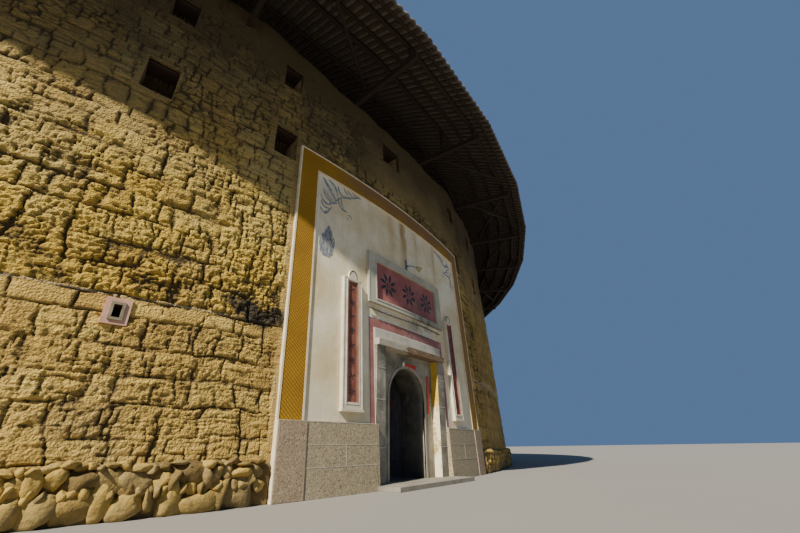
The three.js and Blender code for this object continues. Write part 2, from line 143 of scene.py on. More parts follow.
class Finish:
    def __init__(self, name, roughness=0.9, metal=0.0):
        self.material = bpy.data.materials.new(name)
        self.material.use_nodes = True
        self.tree = self.material.node_tree
        self.shader = self.tree.nodes["Principled BSDF"]
        self.shader.inputs["Roughness"].default_value = roughness
        self.shader.inputs["Metallic"].default_value = metal
        self.place = self.add("ShaderNodeTexCoord", [], "Object")
        self.colour = None

    def add(self, kind, values, output=0, **settings):
        node = self.tree.nodes.new(kind)
        for key, value in settings.items():
            setattr(node, key, value)
        for socket, value in values:
            if isinstance(value, Wire):
                self.tree.links.new(value.socket, node.inputs[socket])
            else:
                node.inputs[socket].default_value = value
        return Wire(self, node.outputs[output])

    def work(self, operation, first, second=0.0):
        return self.add("ShaderNodeMath", [(0, first), (1, second)], operation=operation)

    def stretch(self, x, y, z, place=None):
        values = [(0, place or self.place), (1, (x, y, z))]
        return self.add("ShaderNodeVectorMath", values, operation="MULTIPLY")

    def axis(self, name, place=None):
        return self.add("ShaderNodeSeparateXYZ", [(0, place or self.place)], name)

    def away(self, x, y):
        return self.work("SQRT", self.work("POWER", x, 2.0) + self.work("POWER", y, 2.0))

    def ringPlace(self, alongArc=1.0, alongRadius=1.0, alongHeight=1.0):
        # The place as arc, radius and height, so that a grain can run round the ring
        x, y, z = (self.axis(name) for name in "XYZ")
        arc = self.work("ARCTAN2", x, y * -1.0) * (alongArc * ring["radius"])
        values = [(0, arc), (1, self.away(x, y) * alongRadius), (2, z * alongHeight)]
        return self.add("ShaderNodeCombineXYZ", values)

    def noise(self, scale, detail=3.0, place=None, roughness=0.6, twist=0.0):
        values = [("Vector", place or self.place), ("Scale", scale), ("Detail", detail),
                  ("Roughness", roughness), ("Distortion", twist)]
        return self.add("ShaderNodeTexNoise", values)

    def cells(self, scale, output="Distance"):
        return self.add("ShaderNodeTexVoronoi", [("Vector", self.place), ("Scale", scale)], output)

    def mark(self, name):
        return self.add("ShaderNodeAttribute", [], "Fac", attribute_name=name)

    def ramp(self, value, *stops):
        # A stop is its position and then its red, green and blue
        tint = self.add("ShaderNodeValToRGB", [(0, value)])
        elements = tint.socket.node.color_ramp.elements
        while len(elements) < len(stops):
            elements.new(0.5)
        for element, (position, *colour) in zip(elements, stops):
            element.position = position
            element.color = (*colour, 1)
        return tint

    def blend(self, share, first, second):
        first, second = ((*colour, 1) if isinstance(colour, tuple) else colour for colour in (first, second))
        return self.add("ShaderNodeMix", [(0, share), (6, first), (7, second)], 2, data_type="RGBA")

    def base(self, value, *stops):
        self.colour = self.ramp(value, *stops)

    def coat(self, share, colour):
        self.colour = self.blend(share, self.colour, colour)

    def stain(self, x, z, reachX, reachZ, share):
        # A ragged round patch on the front of the gate panel
        away = self.away((self.axis("X") - x) / reachX, (self.axis("Z") - z) / reachZ)
        return away.level(0.2, 1.0, share, 0.0) * self.noise(9.0, 5.0).level(0.30, 0.70)

    def done(self, relief=None, depth=0.0, strength=0.0):
        self.tree.links.new(self.colour.socket, self.shader.inputs["Base Color"])
        if relief:
            values = [("Height", relief), ("Distance", depth), ("Strength", strength)]
            bump = self.add("ShaderNodeBump", values)
            self.tree.links.new(bump.socket, self.shader.inputs["Normal"])
        return self.material


def mottledFinish(name, roughness, tint, stops, grain, worn=None, stained=None):
    # tint is a noise's scale and detail; grain is another one's, with the depth and strength of its relief
    look = Finish(name, roughness)
    look.base(look.noise(*tint), *stops)
    if worn:
        scale, detail, low, high, share, colour = worn
        look.coat(look.noise(scale, detail).level(low, high, 0.0, share), colour)
    # The last patch is painted shadow: its middle, reach, share and colour
    if stained:
        look.coat(look.stain(*stained[:5]), stained[5])
    return look.done(look.noise(*grain[:2]), *grain[2:])


def plainFinish(name, first, second, scale=6.0, roughness=0.85, depth=0.003, metal=0.0):
    look = Finish(name, roughness, metal)
    look.base(look.noise(scale, 5.0), (0.32, *first), (0.70, *second))
    return look.done(look.noise(scale * 6, 4.0), depth, 0.6)


def woodFinish(name, dark, light, grain, roughness=0.8, ringwise=False):
    look = Finish(name, roughness)
    place = look.ringPlace(*grain) if ringwise else look.stretch(*grain)
    lines = look.noise(4.0, 5.0, place, 0.65, 0.4)
    look.base(lines, (0.30, *dark), (0.62, *light), (0.85, *(0.75 * value for value in light)))
    look.coat(look.noise(2.0, 3.0).level(0.45, 0.8, 0.0, 0.5), tuple(0.5 * value for value in dark))
    return look.done(lines, 0.004, 0.7)


def speckledFinish(name, base, light, dark, warm=None):
    look = Finish(name, 0.75)
    grains = look.axis("X", look.cells(95.0, "Color"))
    look.base(grains, (0.0, *dark), (0.30, *base), (0.72, *base), (1.0, *light))
    look.coat(look.noise(2.6, 5.0).level(0.4, 0.75, 0.0, 0.5), warm or base)
    return look.done(look.noise(50.0, 4.0) + look.noise(9.0, 3.0), 0.004, 0.7)


def nodesNamed(part):
    return [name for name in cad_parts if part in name]


def setFinish(finish, *names):
    for name in names:
        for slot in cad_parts[name].material_slots:
            slot.material = finish


# Mesh helpers
class Shape:
    def __init__(self):
        self.points = []
        self.faces = []
        self.tones = []

    def add(self, points, faces):
        base = len(self.points)
        self.points.extend(tuple(map(float, point)) for point in points)
        self.faces.extend(tuple(base + corner for corner in face) for face in faces)

    def loft(self, rings, closed=False, flip=True):
        # Walls from ring to ring, and a flat end on the first and last unless they meet
        count, corners = len(rings), len(rings[0])
        faces = []
        for i in range(count if closed else count - 1):
            for k in range(corners):
                near, far, following = i * corners, (i + 1) % count * corners, (k + 1) % corners
                turned = (near + following, far + following, far + k)
                faces.append((near + k, *(turned if flip else reversed(turned))))
        if not closed:
            first, last = tuple(range(corners)), tuple(range((count - 1) * corners, count * corners))
            faces += [first[::-1], last] if flip else [first, last[::-1]]
        self.add([point for one in rings for point in one], faces)

    def bar(self, start, end, width, height, up=upward):
        start, end, up = (np.asarray(value, float) for value in (start, end, up))
        along = (end - start) / np.linalg.norm(end - start)
        side = np.cross(along, up)
        side = side / np.linalg.norm(side) * width / 2
        lift = np.cross(side, along)
        lift = lift / np.linalg.norm(lift) * height / 2
        outline = ((-1, -1), (1, -1), (1, 1), (-1, 1))
        self.loft([[place + a * side + b * lift for a, b in outline] for place in (start, end)])

    def tube(self, path, widths, corners=8, closed=False):
        path = [Vector(place) for place in path]
        widths = np.broadcast_to(widths, len(path)).tolist()
        rings = []
        for index, place in enumerate(path):
            if closed:
                along = path[(index + 1) % len(path)] - path[index - 1]
            else:
                along = path[min(index + 1, len(path) - 1)] - path[max(index - 1, 0)]
            along.normalize()
            helper = Vector(upward) if abs(along.z) < 0.9 else Vector((1, 0, 0))
            side = along.cross(helper).normalized()
            lift = side.cross(along)
            rings.append([place + widths[index] * (side * cos(turn) + lift * sin(turn))
                          for turn in (2 * pi * k / corners for k in range(corners))])
        self.loft(rings, closed, False)

    def slab(self, arcs, heights, low, high):
        # A thin plate that follows the wall's curve and lean, from low to high proud of it
        columns = max(2, int(abs(arcs[1] - arcs[0]) / 0.09) + 2)
        outline = [(heights[0], low), (heights[0], high), (heights[1], high), (heights[1], low)]
        self.loft([[onWall(arc, height, proud) for height, proud in outline]
                   for arc in np.linspace(arcs[0], arcs[1], columns)])

    def pair(self, arcs, heights, low, high):
        # A slab on the right hand side of the gate and its twin on the left
        for side in sides.values():
            self.slab(mirrored(side, *arcs), heights, low, high)

    def border(self, middle, half, heights, width, low, high):
        # A rectangle of four slabs inside the given half width and heights
        foot, head = heights
        self.slab((middle - half, middle + half), (head - width, head), low, high)
        self.slab((middle - half, middle + half), (foot, foot + width), low, high)
        for side in (-1, 1):
            arcs = sorted((middle + side * half, middle + side * (half - width)))
            self.slab(arcs, (foot + width, head - width), low, high)


def addPiece(name, points, faces, finish, body="house", smooth=False, marks=None):
    mesh = bpy.data.meshes.new(name)
    points = np.asarray(points, dtype=np.float32).reshape(-1, 3)
    mesh.from_pydata(points.tolist(), [], faces.tolist() if isinstance(faces, np.ndarray) else faces)
    for key, values in (marks or {}).items():
        mark = mesh.attributes.new(key, "FLOAT", "POINT")
        mark.data.foreach_set("value", np.asarray(values, np.float32).ravel())
    mesh.validate()
    mesh.polygons.foreach_set("use_smooth", np.full(len(mesh.polygons), smooth))
    mesh.materials.append(finish)
    piece = stand(name, mesh)
    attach(piece, body)
    return piece


def addShape(name, shape, finish, body="house", smooth=False):
    marks = {"tone": shape.tones} if shape.tones else None
    return addPiece(name, shape.points, shape.faces, finish, body, smooth, marks)


def gridFaces(rows, columns):
    index = np.arange(rows * columns).reshape(rows, columns)
    corners = [index[:-1, :-1], index[:-1, 1:], index[1:, 1:], index[1:, :-1]]
    return np.stack(corners, axis=-1).reshape(-1, 4)


def wrapFaces(rows, columns, flip=False):
    index = np.arange(rows * columns).reshape(rows, columns)
    following = np.roll(index, -1, axis=1)
    corners = [index[:-1], following[:-1], following[1:], index[1:]]
    if flip:
        corners.reverse()
    return np.stack(corners, axis=-1).reshape(-1, 4)


# Repeatable patterns over the wall's face
def hashed(cellX, cellY, seed):
    cells = (cellX.astype(np.int64) * 374761393 + cellY.astype(np.int64) * 668265263 + seed * 1442695041)
    cells = ((cells ^ (cells >> 13)) * 1274126177) & 0xFFFFFFFF
    cells = ((cells ^ (cells >> 16)) * 2246822519) & 0xFFFFFFFF
    return ((cells ^ (cells >> 15)) & 0xFFFFFF) / 16777216.0


def chance(seed, number, other=0):
    return float(hashed(np.array([number * 1.0]), np.array([other * 1.0]), seed)[0])


def softNoise(x, y, seed):
    cellX, cellY = np.floor(x), np.floor(y)
    partX, partY = x - cellX, y - cellY
    partX = partX * partX * (3 - 2 * partX)
    partY = partY * partY * (3 - 2 * partY)
    low = hashed(cellX, cellY, seed) * (1 - partX) + hashed(cellX + 1, cellY, seed) * partX
    high = hashed(cellX, cellY + 1, seed) * (1 - partX) + hashed(cellX + 1, cellY + 1, seed) * partX
    return (low * (1 - partY) + high * partY) * 2 - 1


def layeredNoise(x, y, seed, layers=3):
    total = np.zeros(np.broadcast(x, y).shape)
    for layer in range(layers):
        total = total + 0.55 ** layer * softNoise(x * 2 ** layer, y * 2 ** layer, seed + layer)
    return total / 1.6


def cellPattern(x, y, seed, scatter=0.85):
    # Distances to the nearest and second nearest centres, and the nearest one's number
    cellX, cellY = np.floor(x), np.floor(y)
    nearest, second = np.full(x.shape, 9.0), np.full(x.shape, 9.0)
    number = np.zeros(x.shape)
    for stepX in (-1, 0, 1):
        for stepY in (-1, 0, 1):
            nearX, nearY = cellX + stepX, cellY + stepY
            awayX = nearX + 0.5 + (hashed(nearX, nearY, seed) - 0.5) * scatter - x
            awayY = nearY + 0.5 + (hashed(nearX, nearY, seed + 1) - 0.5) * scatter - y
            distance = np.hypot(awayX, awayY)
            closer = distance < nearest
            second = np.where(closer, nearest, np.minimum(second, distance))
            number = np.where(closer, hashed(nearX, nearY, seed + 2), number)
            nearest = np.where(closer, distance, nearest)
    return nearest, second, number


def smoothStep(value, low, high):
    part = np.clip((value - low) / (high - low), 0, 1)
    return part * part * (3 - 2 * part)


def bell(distance, width):
    return np.exp(-(distance / width) ** 2)


# Rammed-earth wall: lifts, blocks, cracks, strata, lumps and mud plaster as relief over the CAD wall's face
earth = {
    "liftLines": (0.33, 0.52, 0.74, 0.95, 1.17, 1.41, 1.57, 1.81, 2.03, 2.29, 2.52, 2.77, 2.98, 3.22, 3.37,
                  3.50, 3.74, 3.99, 4.22, 4.47, 4.70, 4.95, 5.17, 5.42, 5.70, 6.10),
    "shortestBlock": 0.18, "longestBlock": 0.37, "edgeWander": 0.42,
    "base": 0.030, "crackDepth": 0.026, "crackWidth": 0.0060, "chamfer": 0.0066, "chamferWidth": 0.024,
    "subArc": 0.150, "subHeight": 0.098, "subDepth": 0.019, "subWidth": 0.0068,
    "blockStep": 0.013, "strata": 0.0085, "strataSize": 0.046, "swell": 0.012, "grain": 0.0036,
    "lump": 0.022, "lumpSize": 0.095, "knob": 0.020, "knobSize": 0.040, "crumb": 0.006, "crumbSize": 0.022,
    "pocket": 0.038, "gouge": 0.026, "roughRise": 0.010,
    "ledge": 1.57, "smoothCourse": 1.41, "roughTop": 3.12, "thinTop": 3.70,
    "bandMiddle": 2.98, "bandReach": 0.11,
    "oddArc": 0.23, "oddHeight": 0.17, "oddWidth": 0.0060, "thread": 0.006,
    "mudRise": 0.006, "mudSwell": 0.008, "mudSplit": 0.010, "panelStrip": 2.115, "panelTop": 4.11,
    "seatBack": 0.065, "foot": 0.24, "least": 0.003, "floor": 0.0015,
    "nearEnd": -5.3, "nearSplit": 2.3, "panelSeam": -2.06, "hiddenEnd": 2.03, "hiddenTop": 3.98,
    "lowGrid": 0.0095, "highGrid": 0.0125, "gateGrid": 0.0195, "middleGrid": 0.062, "farGrid": 0.085,
    # The first is the coarsest spacing that still gets fine cracks; the second is how much of the painted
    # crack shade the coarser grids keep
    "finest": 0.03, "farCreviceShade": 0.50,
}
# A window's width, its sill's height and its own height
windows = {
    "third": (0.310, 3.815, 0.465), "fourth": (0.280, 5.095, 0.435), "gate": (0.475, 4.970, 0.435),
    "gateArc": -0.205, "nearTurn": 8.9, "firstTurn": 14.56, "perSide": 30, "plasterReach": 0.060,
    "barWidth": 0.016, "bars": 6, "barDepth": 0.26, "boardDepth": 0.20, "boardBack": 0.03,
    "sillThick": 0.016, "headThick": 0.026,
}
soot = {"arc": -2.42, "height": 1.675, "reachArc": 0.36, "reachHeight": 0.125, "slant": 0.25}
vents = {
    "width": 0.080, "height": 0.130, "middle": 1.425, "turn": 13.54, "inset": 0.012, "edge": 0.021,
    "shownDepths": (0.020, 0.054), "otherDepths": (0.0, 0.050),
    "limeHalf": 0.089, "limeTall": 0.108, "limeThick": 0.042,
}


def windowBoxes():
    # Each window's middle along the arc, its width, foot and head
    first, count = windows["firstTurn"], windows["perSide"]
    step = (180 - first) / (count - 0.5)
    turns = [windows["nearTurn"], *(first + step * number for number in range(count))]
    places = [(side * radians(turn) * ring["radius"], row)
              for turn in turns for side in (-1, 1) for row in ("third", "fourth")]
    boxes = []
    for arc, row in places + [(windows["gateArc"], "gate")]:
        width, sill, tall = windows[row]
        boxes.append((arc, width, sill, sill + tall))
    return boxes


def ventBoxes():
    low = vents["middle"] - vents["height"] / 2
    arcs = [radians(vents["turn"] + ring["sideTurn"] * number) * ring["radius"] for number in range(3)]
    return [(side * arc, vents["width"], low, low + vents["height"]) for arc in arcs for side in (-1, 1)]


def boxDistance(arc, height, box):
    middle, width, low, high = box
    awayArc = np.maximum(np.abs(arc - middle) - width / 2, 0)
    awayHeight = np.maximum(np.maximum(low - height, height - high), 0)
    return np.hypot(awayArc, awayHeight)


def mudShare(arc, height, boxes):
    # Where the wall is smooth mud plaster: under the roof, over the panel, beside it and round the windows
    wander = 0.25 * layeredNoise(arc * 0.9, height * 0.9, 61)
    share = smoothStep(height + wander, 5.22, 5.50)
    overPanel = smoothStep(height + 0.6 * wander, 4.36, 4.56) * smoothStep(arc + wander, -1.20, -0.85)
    share = np.maximum(share, overPanel * smoothStep(2.85 - arc + wander, 0, 0.3))
    away = np.abs(np.abs(arc) - earth["panelStrip"])
    strip = smoothStep(0.075 - away + 0.10 * wander, 0.0, 0.035) * (height < earth["panelTop"] + 0.1)
    above = smoothStep(0.08 - np.abs(height - earth["panelTop"]) + 0.10 * wander, 0, 0.04)
    share = np.maximum(share, np.maximum(strip, above * (np.abs(arc) < earth["panelStrip"])))
    for box in boxes:
        near = np.abs(arc - box[0]) < 0.6
        if near.any():
            reach = windows["plasterReach"] * (0.9 + 0.8 * softNoise(arc[near] * 5, height[near] * 5, 71))
            plaster = smoothStep(reach - boxDistance(arc[near], height[near], box), 0, 0.03)
            share[near] = np.maximum(share[near], plaster)
    return share


def blockPattern(bendArc, bendHeight):
    # Lifts of earth cut by upright joints: distances to both kinds of line, and each block's own numbers
    lines = np.array(earth["liftLines"])
    lift = np.clip(np.searchsorted(lines, bendHeight), 1, len(lines) - 1)
    lineAway = np.minimum(np.abs(bendHeight - lines[lift - 1]), np.abs(bendHeight - lines[lift]))
    row = lift * 1.0
    zero = np.zeros(bendArc.shape)
    length = earth["shortestBlock"] + (earth["longestBlock"] - earth["shortestBlock"]) * hashed(row, zero, 21)
    along = bendArc / length + hashed(row, zero, 22) * 7
    cell = np.floor(along)

    def edge(step):
        return cell + step + earth["edgeWander"] * (hashed(row, cell + step, 23) - 0.5)

    block = np.where(along < edge(0), cell - 1, np.where(along > edge(1), cell + 1, cell))
    sideAway = np.full(bendArc.shape, 9.0)
    for step in (-1, 0, 1, 2):
        weight = 1 + 1.6 * (hashed(row, cell + step, 24) < 0.22)
        sideAway = np.minimum(sideAway, np.abs(along - edge(step)) * length * weight)
    return lineAway, sideAway, hashed(row, block, 26), hashed(row, block, 27), hashed(row, zero, 25)


def smallCourses(arc, height):
    # Short level and upright splits inside the blocks, with gaps in both
    tall, long = earth["subHeight"], earth["subArc"]
    bendArc = arc + 0.040 * layeredNoise(arc * 4, height * 4, 91)
    bendHeight = height + 0.026 * layeredNoise(arc * 3.2, height * 3.2, 92)
    row = np.floor(bendHeight / tall)
    part = bendHeight / tall - row
    zero = np.zeros(row.shape)
    along = bendArc / long * (0.75 + 0.6 * hashed(row, zero, 46)) + hashed(row, zero, 47) * 9
    cell = np.floor(along)
    sideAway = np.full(row.shape, 9.0)
    for step in (0, 1):
        edge = cell + step + 0.5 * (hashed(row, cell + step, 48) - 0.5)
        missing = 0.04 * (hashed(row, cell + step, 49) < 0.25)
        sideAway = np.minimum(sideAway, np.abs(along - edge) * long + missing)
    over = np.where(part > 0.5, row + 1, row)
    lineAway = np.minimum(part, 1 - part) * tall + 0.04 * (hashed(over, cell, 50) < 0.40)
    return lineAway, sideAway


def earthRelief(arc, height, boxes, grid):
    # grid is the mesh's spacing; cracks get no thinner than it can show
    look = earth
    close = grid < look["finest"]

    def waves(perArc, perHeight, seed, layers=3):
        return layeredNoise(arc * perArc, height * perHeight, seed, layers)

    def ripple(perArc, perHeight, seed):
        return softNoise(arc * perArc, height * perHeight, seed)

    def cells(size, squash, seed):
        return cellPattern(bendArc / size, bendHeight / (squash * size), seed)

    small = 0.014 * ripple(11, 11, 12) + 0.009 * ripple(27, 27, 10)
    bendArc = arc + 0.050 * waves(1.9, 1.9, 11) + 0.022 * ripple(5, 5, 9) + small
    bendHeight = height + 0.024 * waves(0.8, 0.8, 13) + 0.017 * ripple(3.1, 1.6, 8)
    bendHeight = bendHeight + 0.012 * ripple(9, 9, 14) + 0.007 * ripple(23, 23, 16)
    lineAway, sideAway, blockNumber, otherNumber, liftNumber = blockPattern(bendArc, bendHeight)

    # How rough, how layered and how far up the wall a place is
    ledge = smoothStep(height, look["ledge"] - 0.015, look["ledge"] + 0.02)
    course = smoothStep(height, look["smoothCourse"] - 0.02, look["smoothCourse"] + 0.02) * (1 - ledge)
    patch = waves(1.1, 1.3, 31)
    band = ledge * (1 - smoothStep(height + 0.25 * patch, look["roughTop"] - 0.15, look["roughTop"] + 0.15))
    rough = band * (0.85 + 0.6 * patch) + 0.40 * smoothStep(patch, -0.20, 0.35) + 0.11
    rough = np.clip(rough, 0, 1) * (1 - 0.9 * course)
    smoothBand = bell(height + 0.10 * patch - look["bandMiddle"], look["bandReach"])
    rough = rough * (1 - 0.80 * smoothBand)
    high = smoothStep(height + 0.3 * patch, look["thinTop"], look["thinTop"] + 0.5)

    # Cracks: lifts and uprights below, short splits everywhere and a few long crooked ones
    width = max(look["crackWidth"], 0.55 * grid)
    ragged = np.clip(0.85 + 1.15 * waves(8, 8, 32, 2), 0.25, 2.6)
    gap = smoothStep(waves(1.9, 4, 36, 2), -0.20, 0.22)
    lineAway = lineAway * (1 + 1.2 * high * (liftNumber < 0.5))
    lineAway = lineAway + 0.05 * gap * (0.40 + 0.60 * band) * (1 - course)
    sideAway = sideAway + 0.02 * high * gap
    strength = 0.55 + 0.9 * np.clip(0.4 + waves(1.6, 1.6, 33, 2), 0, 1)
    crack = np.maximum(0.75 * bell(lineAway, width * ragged), bell(sideAway, width * ragged)) * strength
    first, second, _ = cellPattern(bendArc / look["oddArc"], bendHeight / look["oddHeight"], 41)
    oddAway = (second - first) * 0.5 * look["oddHeight"]
    odd = bell(oddAway, max(look["oddWidth"], 0.4 * grid))
    odd = odd * smoothStep(waves(2, 2, 34, 2) + 0.28 * high, 0.0, 0.3)
    crack = np.maximum(crack, odd * (0.35 + 0.45 * high) * strength)
    chamfer = bell(np.minimum(lineAway, sideAway), look["chamferWidth"] * (0.45 + 0.75 * ragged))
    chamfer = chamfer * (1 - 0.3 * high)
    smallLine, smallSide = smallCourses(arc, height)
    gate = smoothStep(waves(2.3, 2.3, 45, 2) + 0.5 * high, -0.45, 0.05) * (1 - 0.92 * course)
    thin = max(look["subWidth"], 0.5 * grid)
    fine = np.maximum(0.7 * bell(smallLine, thin * ragged), bell(smallSide, thin * ragged))
    fine = fine * gate * (1.0 if close else 0.3)

    # Strata run level through the blocks, and lumps and pockets break the rough band
    flow = layeredNoise(arc * 1.4, bendHeight / look["strataSize"] + 0.5 * patch, 53, 2)
    strata = bell(flow, 0.10) + 0.5 * smoothStep(flow, 0.0, 0.5)
    besidePanel = smoothStep(arc, -3.4, -2.5) * (arc < 0) * (1 - ledge)
    layered = 0.45 + 0.9 * waves(0.9, 0.9, 54, 2) + 0.35 * high + 0.85 * besidePanel + 0.8 * smoothBand
    layered = np.clip(layered, 0.1, 1.3) * (1 - 0.8 * course)
    lump, lumpSecond, lumpNumber = cells(look["lumpSize"], 0.58, 51)
    knob, _, knobNumber = cells(look["knobSize"], 0.66, 52)
    crumb, _, crumbNumber = cells(look["crumbSize"], 1, 59)
    lumps = (0.62 - lump) * (0.6 + 0.8 * lumpNumber) + 0.25 * np.clip(lumpSecond - lump, 0, 0.4)
    knobs = (0.62 - knob) * (0.4 + knobNumber)
    pockets = smoothStep(waves(5.0, 6.4, 55, 4), 0.16, 0.60)
    gouges = smoothStep(waves(1.5, 6.0, 56), 0.22, 0.62) * band
    thread = bell(height - look["ledge"] - 0.008 * np.sin(arc * 2.1), max(0.005, 0.5 * grid))

    relief = look["base"] + look["swell"] * waves(0.6, 0.6, 15, 2)
    relief += look["roughRise"] * band
    relief += look["blockStep"] * (blockNumber - 0.5) * (1 + 0.8 * rough) * (1 - 0.2 * high)
    relief -= look["crackDepth"] * crack
    relief -= look["chamfer"] * chamfer * (1 + 1.2 * rough)
    relief -= look["subDepth"] * fine * (0.72 + 0.28 * np.maximum(band, high))
    relief += look["lump"] * rough * (lumps - 0.30)
    relief += look["knob"] * (0.15 + rough) * (knobs - 0.3)
    crumbly = np.clip(0.35 + 1.5 * waves(1.7, 2.4, 60, 2), 0.05, 1) * close
    relief += look["crumb"] * (0.25 + rough) * (0.6 - crumb) * crumbNumber * crumbly
    relief -= look["pocket"] * pockets * np.clip(rough - 0.25, 0, 1) * (0.6 + 0.5 * patch)
    relief -= look["strata"] * strata * layered * (1 + 0.5 * high)
    relief -= look["gouge"] * gouges
    relief += look["grain"] * waves(24, 24, 57) * (0.6 + rough) * (1 - 0.6 * course)
    relief += look["thread"] * thread
    # Painted shade, coloured into the earth: cracks, splits, pockets, strata lines, rounded block edges, gaps
    # between lumps and the shadow under the ledge
    creviceShade = crack + 0.70 * (1 + 0.5 * high) * fine
    creviceShade = creviceShade + 0.65 * pockets * np.clip(rough - 0.2, 0, 1) + 0.24 * chamfer
    underLedgeShadow = bell(height - look["ledge"] + 0.016, 0.012)
    creviceShade += 0.38 * strata * layered + 0.30 * underLedgeShadow + 0.25 * gouges
    creviceShade += 0.9 * np.clip(0.22 - knobs, 0, 1) * (0.25 + rough) + 0.5 * np.clip(0.15 - lumps, 0, 1) * rough
    creviceShade = np.clip(creviceShade, 0, 1) * (1 if close else look["farCreviceShade"])

    # Mud plaster over it, with its own thin splits
    mud = mudShare(arc, height, boxes) * (1 - 0.35 * smoothStep(waves(1.6, 1.6, 62), -0.1, 0.2))
    mudRelief = look["base"] + look["mudRise"] + look["mudSwell"] * waves(1.3, 1.3, 17)
    mudRelief += 0.005 * waves(6, 6, 18)
    mudRelief += 0.030 * waves(3.4, 3.0, 20) * smoothStep(height, 5.25, 5.60)
    split = bell(oddAway, max(0.004, 0.4 * grid)) * smoothStep(waves(1, 1, 19, 2), 0.02, 0.25)
    mudRelief -= look["mudSplit"] * split
    relief = relief * (1 - mud) + mudRelief * mud
    relief = np.where(relief < look["least"], look["least"] + 0.3 * (relief - look["least"]), relief)
    blackArc = (arc - soot["arc"]) / soot["reachArc"] + 0.40 * waves(6, 6, 37)
    blackHeight = (height - soot["height"] + soot["slant"] * (arc - soot["arc"])) / soot["reachHeight"]
    blackHeight = blackHeight + 0.7 * waves(5, 7, 38)
    marks = {
        "creviceShade": creviceShade * (1 - mud) + 0.8 * split * mud,
        "tone": np.clip(0.5 + 0.55 * (otherNumber - 0.5) * (1 - mud) + 0.35 * waves(0.5, 0.8, 35), 0, 1),
        "mud": mud, "soot": smoothStep(1.75 - np.hypot(blackArc, blackHeight), 0, 1.5),
        "rough": np.clip(band + 0.3 * rough, 0, 1), "thread": thread,
    }
    return np.maximum(relief, look["floor"]), marks


# The mud on top of the wall rises and dips between the roof beams: places along the arc and their heights
wallTop = {
    "arcs": (-47.2, -5.87, -3.20, -2.68, -1.81, -1.45, -1.26, -1.18, -0.89, -0.67, -0.55, -0.31, 0.21, 0.53,
             0.76, 0.80, 1.25, 1.70, 2.33, 2.75, 2.87, 3.44, 4.21, 7.0, 47.2),
    "heights": (5.86, 5.92, 6.10, 6.10, 5.90, 5.81, 5.77, 5.76, 5.78, 5.78, 5.76, 5.76, 5.76, 5.78,
                5.78, 5.76, 5.80, 5.91, 6.08, 6.07, 5.86, 5.93, 6.02, 5.88, 5.86),
    "rows": ((0.35, 0.0), (0.7, 0.004), (0.93, 0.02), (1.0, 0.07), (1.0, 0.25), (0.85, 0.45), (-0.03, 0.55)),
}


def capRows(arcs, relief):
    # The mud cap: a few more rows over the top of the wall, then back and down behind its edge
    ripples = 0.06 * layeredNoise(arcs * 1.1, arcs * 0 + 3.0, 81)
    top = np.interp(arcs, wallTop["arcs"], wallTop["heights"]) + ripples * smoothStep(np.abs(arcs), 2.2, 4.0)
    rows = []
    for part, back in wallTop["rows"]:
        lift = ring["top"] + (top - ring["top"]) * part
        sway = 0.008 * layeredNoise(arcs * 3, arcs * 0 + part * 4, 83) + relief
        rows.append(onWall(arcs, lift, sway - back))
    return rows


def spread(low, high, spacing, marks=()):
    # Even grid lines, the nearest ones moved onto the marks
    lines = np.linspace(low, high, max(2, int(round((high - low) / spacing)) + 1))
    for mark in marks:
        if low < mark < high:
            lines[np.argmin(np.abs(lines - mark))] = mark
    return np.unique(lines)


def turnEdgesBack(points, faces, marks):
    # Open edges turn back into the wall, with corners of their own so that the face stays crisp
    edges = {}
    for face in faces.tolist():
        for k in range(4):
            pair = (face[k], face[(k + 1) % 4])
            if pair[::-1] in edges:
                del edges[pair[::-1]]
            else:
                edges[pair] = True
    rim = sorted({corner for pair in edges for corner in pair})
    outer = {corner: len(points) + k for k, corner in enumerate(rim)}
    inner = {corner: len(points) + len(rim) + k for k, corner in enumerate(rim)}
    inward = points[rim].copy()
    reach = np.hypot(inward[:, 0], inward[:, 1])
    inward[:, :2] *= ((reach - earth["seatBack"]) / reach)[:, None]
    turned = np.array([(outer[b], outer[a], inner[a], inner[b]) for a, b in edges], dtype=np.int64)
    marks = {key: np.concatenate([value, value[rim], value[rim]]) for key, value in marks.items()}
    return np.concatenate([points, points[rim], inward]), np.concatenate([faces, turned]), marks


def earthSkin(place, arcSpan, heightSpan, spacing, finish, hidden=None):
    # hidden is a box like a window's, where the gate panel covers the wall
    lowArc, highArc = arcSpan
    boxes = [box for box in windowBoxes() if lowArc - 0.4 < box[0] < highArc + 0.4]
    holes = boxes + [box for box in ventBoxes() if lowArc < box[0] < highArc]
    arcs = spread(lowArc, highArc, spacing, [box[0] + side * box[1] / 2 for box in holes for side in (-1, 1)])
    heights = spread(*heightSpan, spacing, sorted({height for box in holes for height in box[2:]}))
    arc, height = np.meshgrid(arcs, heights)
    relief, marks = earthRelief(arc, height, boxes, spacing)
    points = onWall(arc, height, relief)
    extra = capRows(arcs, relief[-1]) if heightSpan[1] >= ring["top"] else []
    if extra:
        points = np.concatenate([points, np.stack(extra)])
    for key, values in marks.items():
        tail = np.repeat(values[-1:], len(extra), axis=0)
        marks[key] = np.concatenate([values, np.ones_like(tail) if key == "mud" else tail]).ravel()
    middleArc = (arcs[:-1] + arcs[1:]) / 2
    middleHeight = (heights[:-1] + heights[1:]) / 2
    keep = np.ones((len(points) - 1, len(arcs) - 1), bool)
    for middle, width, low, high in holes + ([hidden] if hidden else []):
        inHeight = np.flatnonzero((middleHeight > low) & (middleHeight < high))
        keep[np.ix_(inHeight, np.abs(middleArc - middle) < width / 2)] = False
    faces = gridFaces(len(points), len(arcs))[keep.reshape(-1)]
    flat, faces, marks = turnEdgesBack(points.reshape(-1, 3), faces, marks)
    return addPiece(f"earth_relief_{place}", flat, faces, finish, smooth=True, marks=marks)


